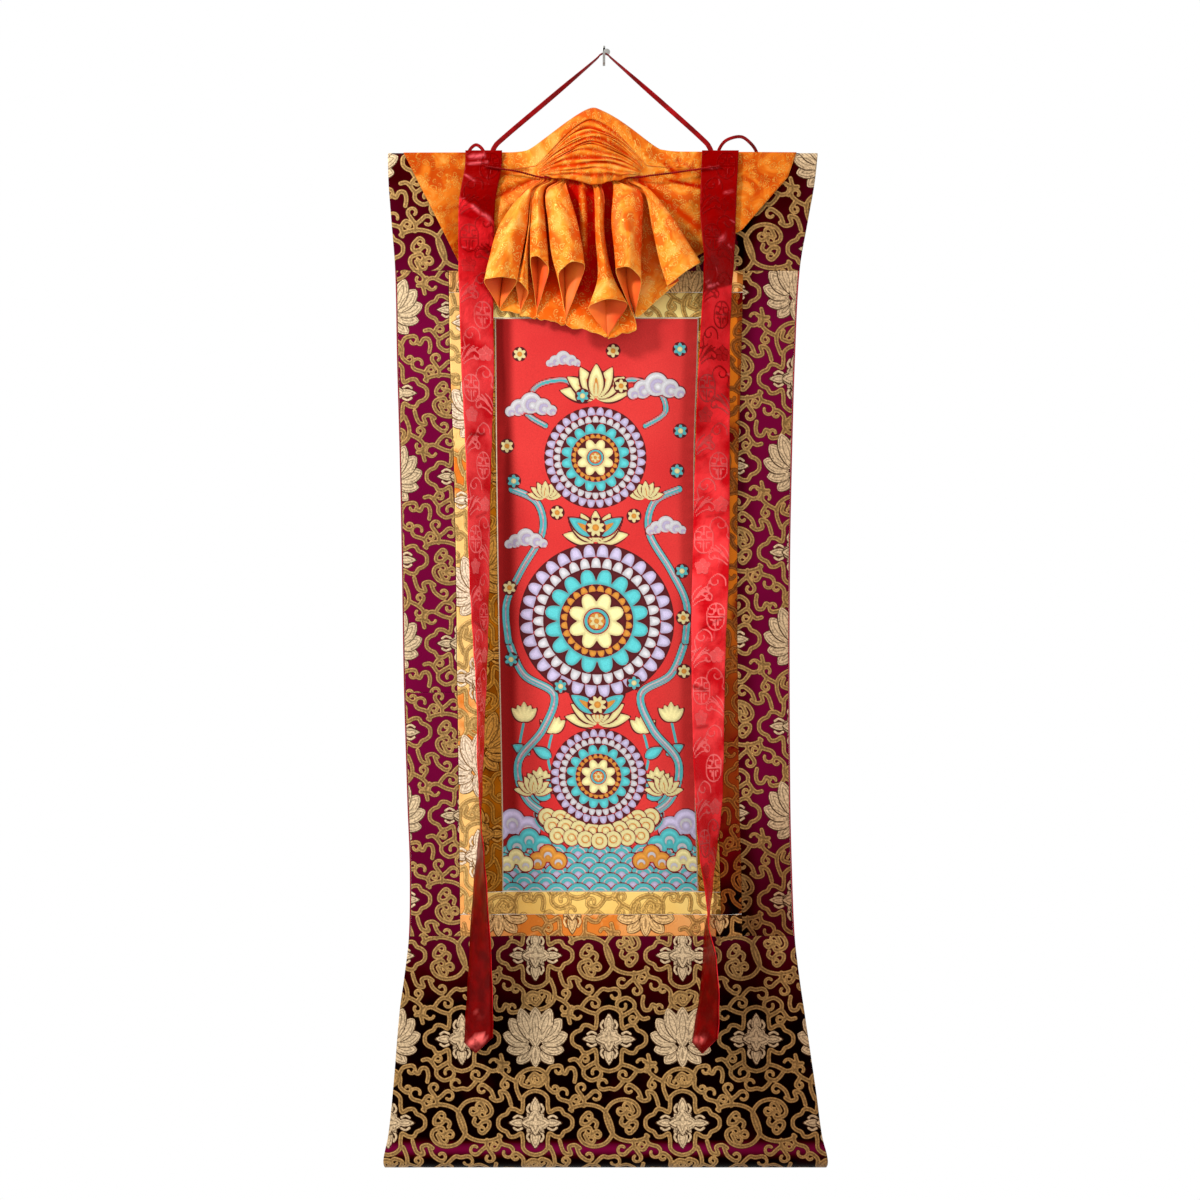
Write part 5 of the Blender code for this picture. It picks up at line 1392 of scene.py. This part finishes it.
ribbon_chart = Chart(64.0, 180.0)
for bands, flower, across, up, way in RIBBON_MOTIFS:
    place = np.array([across + 32, up + 40])
    for points, curl in bands:
        ribbon_chart.band("bands", with_curl(points, curl) * (way, 1) + place)
    for root_x, root_y, tip_x, tip_y, wide in flower:
        ribbon_chart.petal(place + (root_x, root_y), place + (tip_x, tip_y), wide, 1.3)

red_silk, tree, shader = new_material("red ribbon silk")
dark, painted_light, gleam = (attribute(tree, name) for name in ("dark", "painted_light", "gleam"))
lie = noise(tree, 26.0, 5.0)
crumple = noise(tree, 60.0, 3.0, 1.5)
# The lie noise varies the silk's tone at random and also stands for the light and shade of its
# crumples: partly painted light and shade.
amount = spread(tree, lie, 0.4, 0.6)
# Painted light: where this attribute is high, the ground is painted lighter, as where the silk turns
# to the light.
tone = blend(tree, painted_light, blend(tree, amount, rgb(158, 0, 4), rgb(216, 30, 36)),
             blend(tree, amount, rgb(204, 14, 24), rgb(250, 66, 68)))
line = calc(tree, "MAXIMUM", mask(tree, "bands", 0.7, 1.2), mask(tree, "threads", 0.5, 1.0))
filled = calc(tree, "MULTIPLY", mask(tree, "petals", -0.3, 0.3), 0.6)
figure = calc(tree, "MAXIMUM", line, filled)
showing = calc(tree, "MULTIPLY", figure, spread(tree, noise(tree, 7.0), 0.4, 0.5, 0.55, 0.9))
# The figures are painted light pink in the painted light and dark red elsewhere.
tone = blend(tree, showing, tone, blend(tree, painted_light, rgb(122, 0, 0), rgb(255, 118, 116)))
tone = blend(tree, dark, tone, blend(tree, calc(tree, "MULTIPLY", figure, 0.35),
                                     rgb(132, 0, 0), rgb(92, 0, 0)))
# Painted highlights: lighter streaks on the crumples and along the shining creases; creases with a
# minus shine get painted shade.
streak = calc(tree, "MULTIPLY", spread(tree, crumple, 0.66, 0.74), 0.28)
broken = calc(tree, "MULTIPLY", gleam, spread(tree, crumple, 0.38, 0.58, 0.15))
tone = blend(tree, calc(tree, "MAXIMUM", streak, broken), tone, rgb(255, 104, 112))
tone = blend(tree, calc(tree, "MULTIPLY", gleam, -1.0), tone, rgb(120, 0, 0))
plug(tree, shader, {"Base Color": tone, "Specular Tint": tone, "Roughness": 0.36,
                    "Specular IOR Level": 0.3})
height = calc(tree, "MULTIPLY_ADD", figure, 0.35, calc(tree, "MULTIPLY", lie, 3.4))
height = calc(tree, "MULTIPLY_ADD", crumple, 1.4, height)
emboss(tree, shader, calc(tree, "MULTIPLY_ADD", gleam, 0.7, height), 1.2)

plain_red, tree, shader = new_material("plain red silk")
streaks = noise(tree, 60.0, 3.0)
tone = blend(tree, spread(tree, streaks, 0.4, 0.75), rgb(84, 0, 0), rgb(118, 0, 0))
# Painted highlight along the shining creases of the reverse.
gleam = calc(tree, "MULTIPLY", attribute(tree, "gleam"), spread(tree, streaks, 0.36, 0.5, 0.2))
tone = blend(tree, gleam, tone, rgb(255, 110, 104))
plug(tree, shader, {"Base Color": tone, "Specular Tint": tone, "Roughness": 0.36,
                    "Specular IOR Level": 0.12})

s = np.linspace(-0.5, 0.5, 25)[None, :]
for side, table in RIBBONS.items():
    z = np.linspace(-121.5, -1184.0, 640)
    turn = np.radians(np.maximum(value_at(table, 2, z), 0.0))
    middle = value_at(table, 1, z)
    settle = ease((table[1][0] - z) / 30.0)
    rear = mix(-25.1, np.minimum(cloth_y(middle, z) - 0.8 - 2.6, -28.9), settle)
    centre_y = rear - RIBBON_W / 2 * np.sin(turn)
    height = z[:, None] + np.zeros_like(s)
    ends = np.interp(s * RIBBON_W, (-22, 4.6, 22), (-1177, -1199, -1188))
    sag = np.clip((-1150.0 - z) / 34.0, 0, 1)[:, None]
    height = height + sag**2 * (ends + 1184.0)
    cup = 1.3 * settle[:, None] * np.sin(z / 70 + 1)[:, None] * (4 * s * s - 0.5)
    ripple = 0.4 * settle[:, None] * np.sin(z[:, None] / 8 + 9 * s + 2 * np.sin(z[:, None] / 37))
    bow = cup + ripple
    across = (s * RIBBON_W) * np.ones_like(height)
    x = middle[:, None] + across * np.cos(turn)[:, None] + bow * np.sin(turn)[:, None]
    y = centre_y[:, None] + across * np.sin(turn)[:, None] - bow * np.cos(turn)[:, None] - 0.5
    slant = -181 - 0.62 * (across + 22) if side == "left" else -291 + 0.29 * across
    fields = {key: ribbon_chart.look_up(key, across + 32, height)
              for key in ("bands", "petals", "threads")}
    fields["dark"] = ease((height - slant) / 3)
    fields["painted_light"] = (np.interp(-height, *PAINTED_LIGHT[side])
                        + 0.15 * np.sin(height / 19) * np.sin(across / 13 + height / 60))
    fields["gleam"] = sum(shine * np.exp(-((height - z0 - lean * across) / deep) ** 2)
                          * ease((wide - np.abs(across - x0)) / 5)
                          for z0, lean, deep, x0, wide, shine in CREASES_SHINE[side])
    piece = make_cloth(f"{side}_red_ribbon", np.stack([x, y, height], axis=-1), RIBBON_T, 3,
                       fields, (red_silk, plain_red))
    fit(piece, f"ribbon_{side}")


# Hanging ribbon and its two loops: narrow dark red tape over the hook, sewn in under the
# red ribbons.

TAPES = {
    # piece: width, thickness, node, and a route of x, y, height and turn towards the wall
    "hanging_tape": (6.0, 1.0, "hanging_ribbon", [
        (-131.0, -23.3, -136.0, 0.0), (-134.0, -23.3, -127.0, 0.0),
        (-131.0, -23.0, -117.0, 0.0), (-120.0, -22.2, -105.6, 0.0),
        (-70.0, -17.4, -62.0, 0.3), (-14.0, -11.4, -13.2, 0.85), (-4.6, -9.2, -3.6, 1.0),
        (0.0, -9.0, -1.6, 1.0), (4.6, -9.2, -3.6, 1.0), (14.0, -11.4, -12.6, 0.85),
        (70.0, -17.4, -63.0, 0.3), (116.0, -22.2, -105.6, 0.0), (126.0, -23.0, -117.0, 0.0),
        (129.0, -23.3, -127.0, 0.0), (127.0, -23.3, -136.0, 0.0),
    ]),
    "left_loop": (4.0, 0.9, "loop_left", [
        (-163.0, -23.3, -131.0, 0), (-162.0, -23.3, -123.0, 0), (-158.0, -22.6, -117.0, 0),
        (-153.0, -22.2, -114.4, 0), (-147.6, -22.5, -117.6, 0), (-143.6, -23.3, -124.0, 0),
        (-142.6, -23.3, -131.0, 0),
    ]),
    "right_loop": (4.0, 0.9, "loop_right", [
        (137.0, -23.3, -131.0, 0), (138.0, -22.9, -120.0, 0), (147.0, -20.5, -108.4, 0),
        (164.0, -15.0, -103.0, 0), (176.0, -9.0, -109.0, 0), (184.0, -4.0, -119.0, 0),
        (187.0, -2.6, -134.0, 0),
    ]),
}
tape_silk, tree, shader = new_material("dark red tape")
lie = noise(tree, 90.0, 3.0)
tone = blend(tree, spread(tree, lie, 0.35, 0.7), rgb(104, 0, 0), rgb(152, 0, 6))
plug(tree, shader, {"Base Color": tone, "Roughness": 0.42, "Specular IOR Level": 0.08})
emboss(tree, shader, lie, 0.8)


def unit(vectors):
    return vectors / np.maximum(np.linalg.norm(vectors, axis=-1, keepdims=True), 1e-9)


def smooth_route(points, steps):
    """Smooth line through a list of points, with so many steps between each two."""
    return refine(np.array(points, float)[:, None, :].repeat(2, axis=1), steps, 1)[:, 0]


for name, (width, thickness, node, route) in TAPES.items():
    line = smooth_route(route, 24)
    run = unit(np.gradient(line[:, :3], axis=0))
    flat_side = unit(np.cross(run, (0, 1, 0)))
    deep_side = unit(np.cross(run, flat_side))
    turn = line[:, 3:]
    side = unit(flat_side * (1 - turn) + deep_side * turn)
    out = unit(np.cross(run, side))
    share = np.linspace(-0.5, 0.5, 9)[None, :, None]
    points = (line[:, None, :3] + side[:, None] * share * width
              + out[:, None] * (thickness / 2 - 0.25 * (2 * share)**2))
    if np.dot(surface_normals(points)[5, 4], out[5]) < 0:
        points = points[:, ::-1]
    piece = make_cloth(name, points, thickness, 2, {}, (tape_silk,))
    fit(piece, node)


# Tie cord: two red strands twisted together.  It is sewn to both red ribbons and crosses
# the veil, whose gathers it holds up.

CORD_ROUTE = [
    # x, y, height
    (-142.0, -27.7, -141.0), (-122.0, -28.6, -144.4), (-104.0, -30.6, -147.6),
    (-88.0, -33.2, -152.2), (-75.0, -34.2, -155.4), (-56.0, -33.8, -156.0),
    (-16.0, -33.8, -156.0), (24.0, -33.8, -156.0), (42.0, -34.2, -155.4),
    (55.0, -33.0, -153.2), (80.0, -30.6, -149.8), (112.0, -28.6, -144.8),
    (138.0, -27.7, -141.0),
]
line = smooth_route(CORD_ROUTE, 36)
run = unit(np.gradient(line, axis=0))
up = unit(np.cross(run, (0, 1, 0)))
out = np.cross(run, up)
length = steps_along(line)
bm = bmesh.new()
for start in (0.0, math.pi):
    twist = (length / 5.2 * 2 * math.pi + start)[:, None]
    heart = line + (up * np.cos(twist) + out * np.sin(twist)) * 0.6
    rings = []
    for k in range(10):
        angle = k / 10 * 2 * math.pi
        rings.append(heart + (up * math.cos(angle) + out * math.sin(angle)) * 0.74)
    rings = np.array(rings) / 1000
    verts = [[bm.verts.new(p) for p in ring] for ring in rings.transpose(1, 0, 2)]
    for a, b in zip(verts, verts[1:]):
        for k in range(10):
            face = bm.faces.new((a[k], a[(k + 1) % 10], b[(k + 1) % 10], b[k]))
            face.smooth = True
    bm.faces.new(verts[0])
    bm.faces.new(verts[-1][::-1])
bmesh.ops.recalc_face_normals(bm, faces=bm.faces)
mesh = bpy.data.meshes.new("twisted_tie_cord")
bm.to_mesh(mesh)
bm.free()
cord = bpy.data.objects.new("twisted_tie_cord", mesh)
bpy.context.scene.collection.objects.link(cord)
mesh.materials.append(tape_silk)
fit(cord, "tie_cord")
route = [tuple(p / 1000) for p in line[::6]]
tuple(route[0])


# Camera, floor and lights: the scroll seen square on and from half its height, in soft
# light that comes mostly from the upper left.

lens = bpy.data.cameras.new("camera")
lens.lens = 65
camera = bpy.data.objects.new("camera", lens)
camera.location = (-0.0048, -2.62, -0.66)
camera.rotation_euler = (math.radians(90), 0, 0)
bpy.context.scene.collection.objects.link(camera)
bpy.context.scene.camera = camera

bpy.ops.object.select_all(action="DESELECT")
bpy.ops.mesh.primitive_plane_add(size=1.4, location=(0, -0.3, -1.6))
floor = bpy.context.object
floor.name = "floor"
pale, tree, shader = new_material("pale floor")
plug(tree, shader, {"Base Color": rgb(226, 225, 222), "Roughness": 0.9})
floor.data.materials.append(pale)

world = bpy.data.worlds.new("white room")
world.use_nodes = True
world.node_tree.nodes["Background"].inputs[0].default_value = (1, 1, 1, 1)
world.node_tree.nodes["Background"].inputs[1].default_value = 1.0
bpy.context.scene.world = world
bpy.context.scene.view_settings.view_transform = "Standard"
LAMPS = [
    # name, place, size, watts, aims at
    ("key light", (-2.5, -1.7, 1.5), 0.6, 165, (0, 0, -0.6)),
    ("fill light", (2.8, -2.0, -0.5), 1.2, 22, (0, 0, -0.7)),
]
for name, place, size, watts, aim in LAMPS:
    lamp = bpy.data.lights.new(name, "AREA")
    lamp.shape = "DISK"
    lamp.size = size
    lamp.energy = watts
    light = bpy.data.objects.new(name, lamp)
    light.location = place
    away = np.array(place) - np.array(aim)
    light.rotation_euler = (math.acos(away[2] / np.linalg.norm(away)), 0,
                            math.atan2(away[1], away[0]) + math.pi / 2)
    bpy.context.scene.collection.objects.link(light)
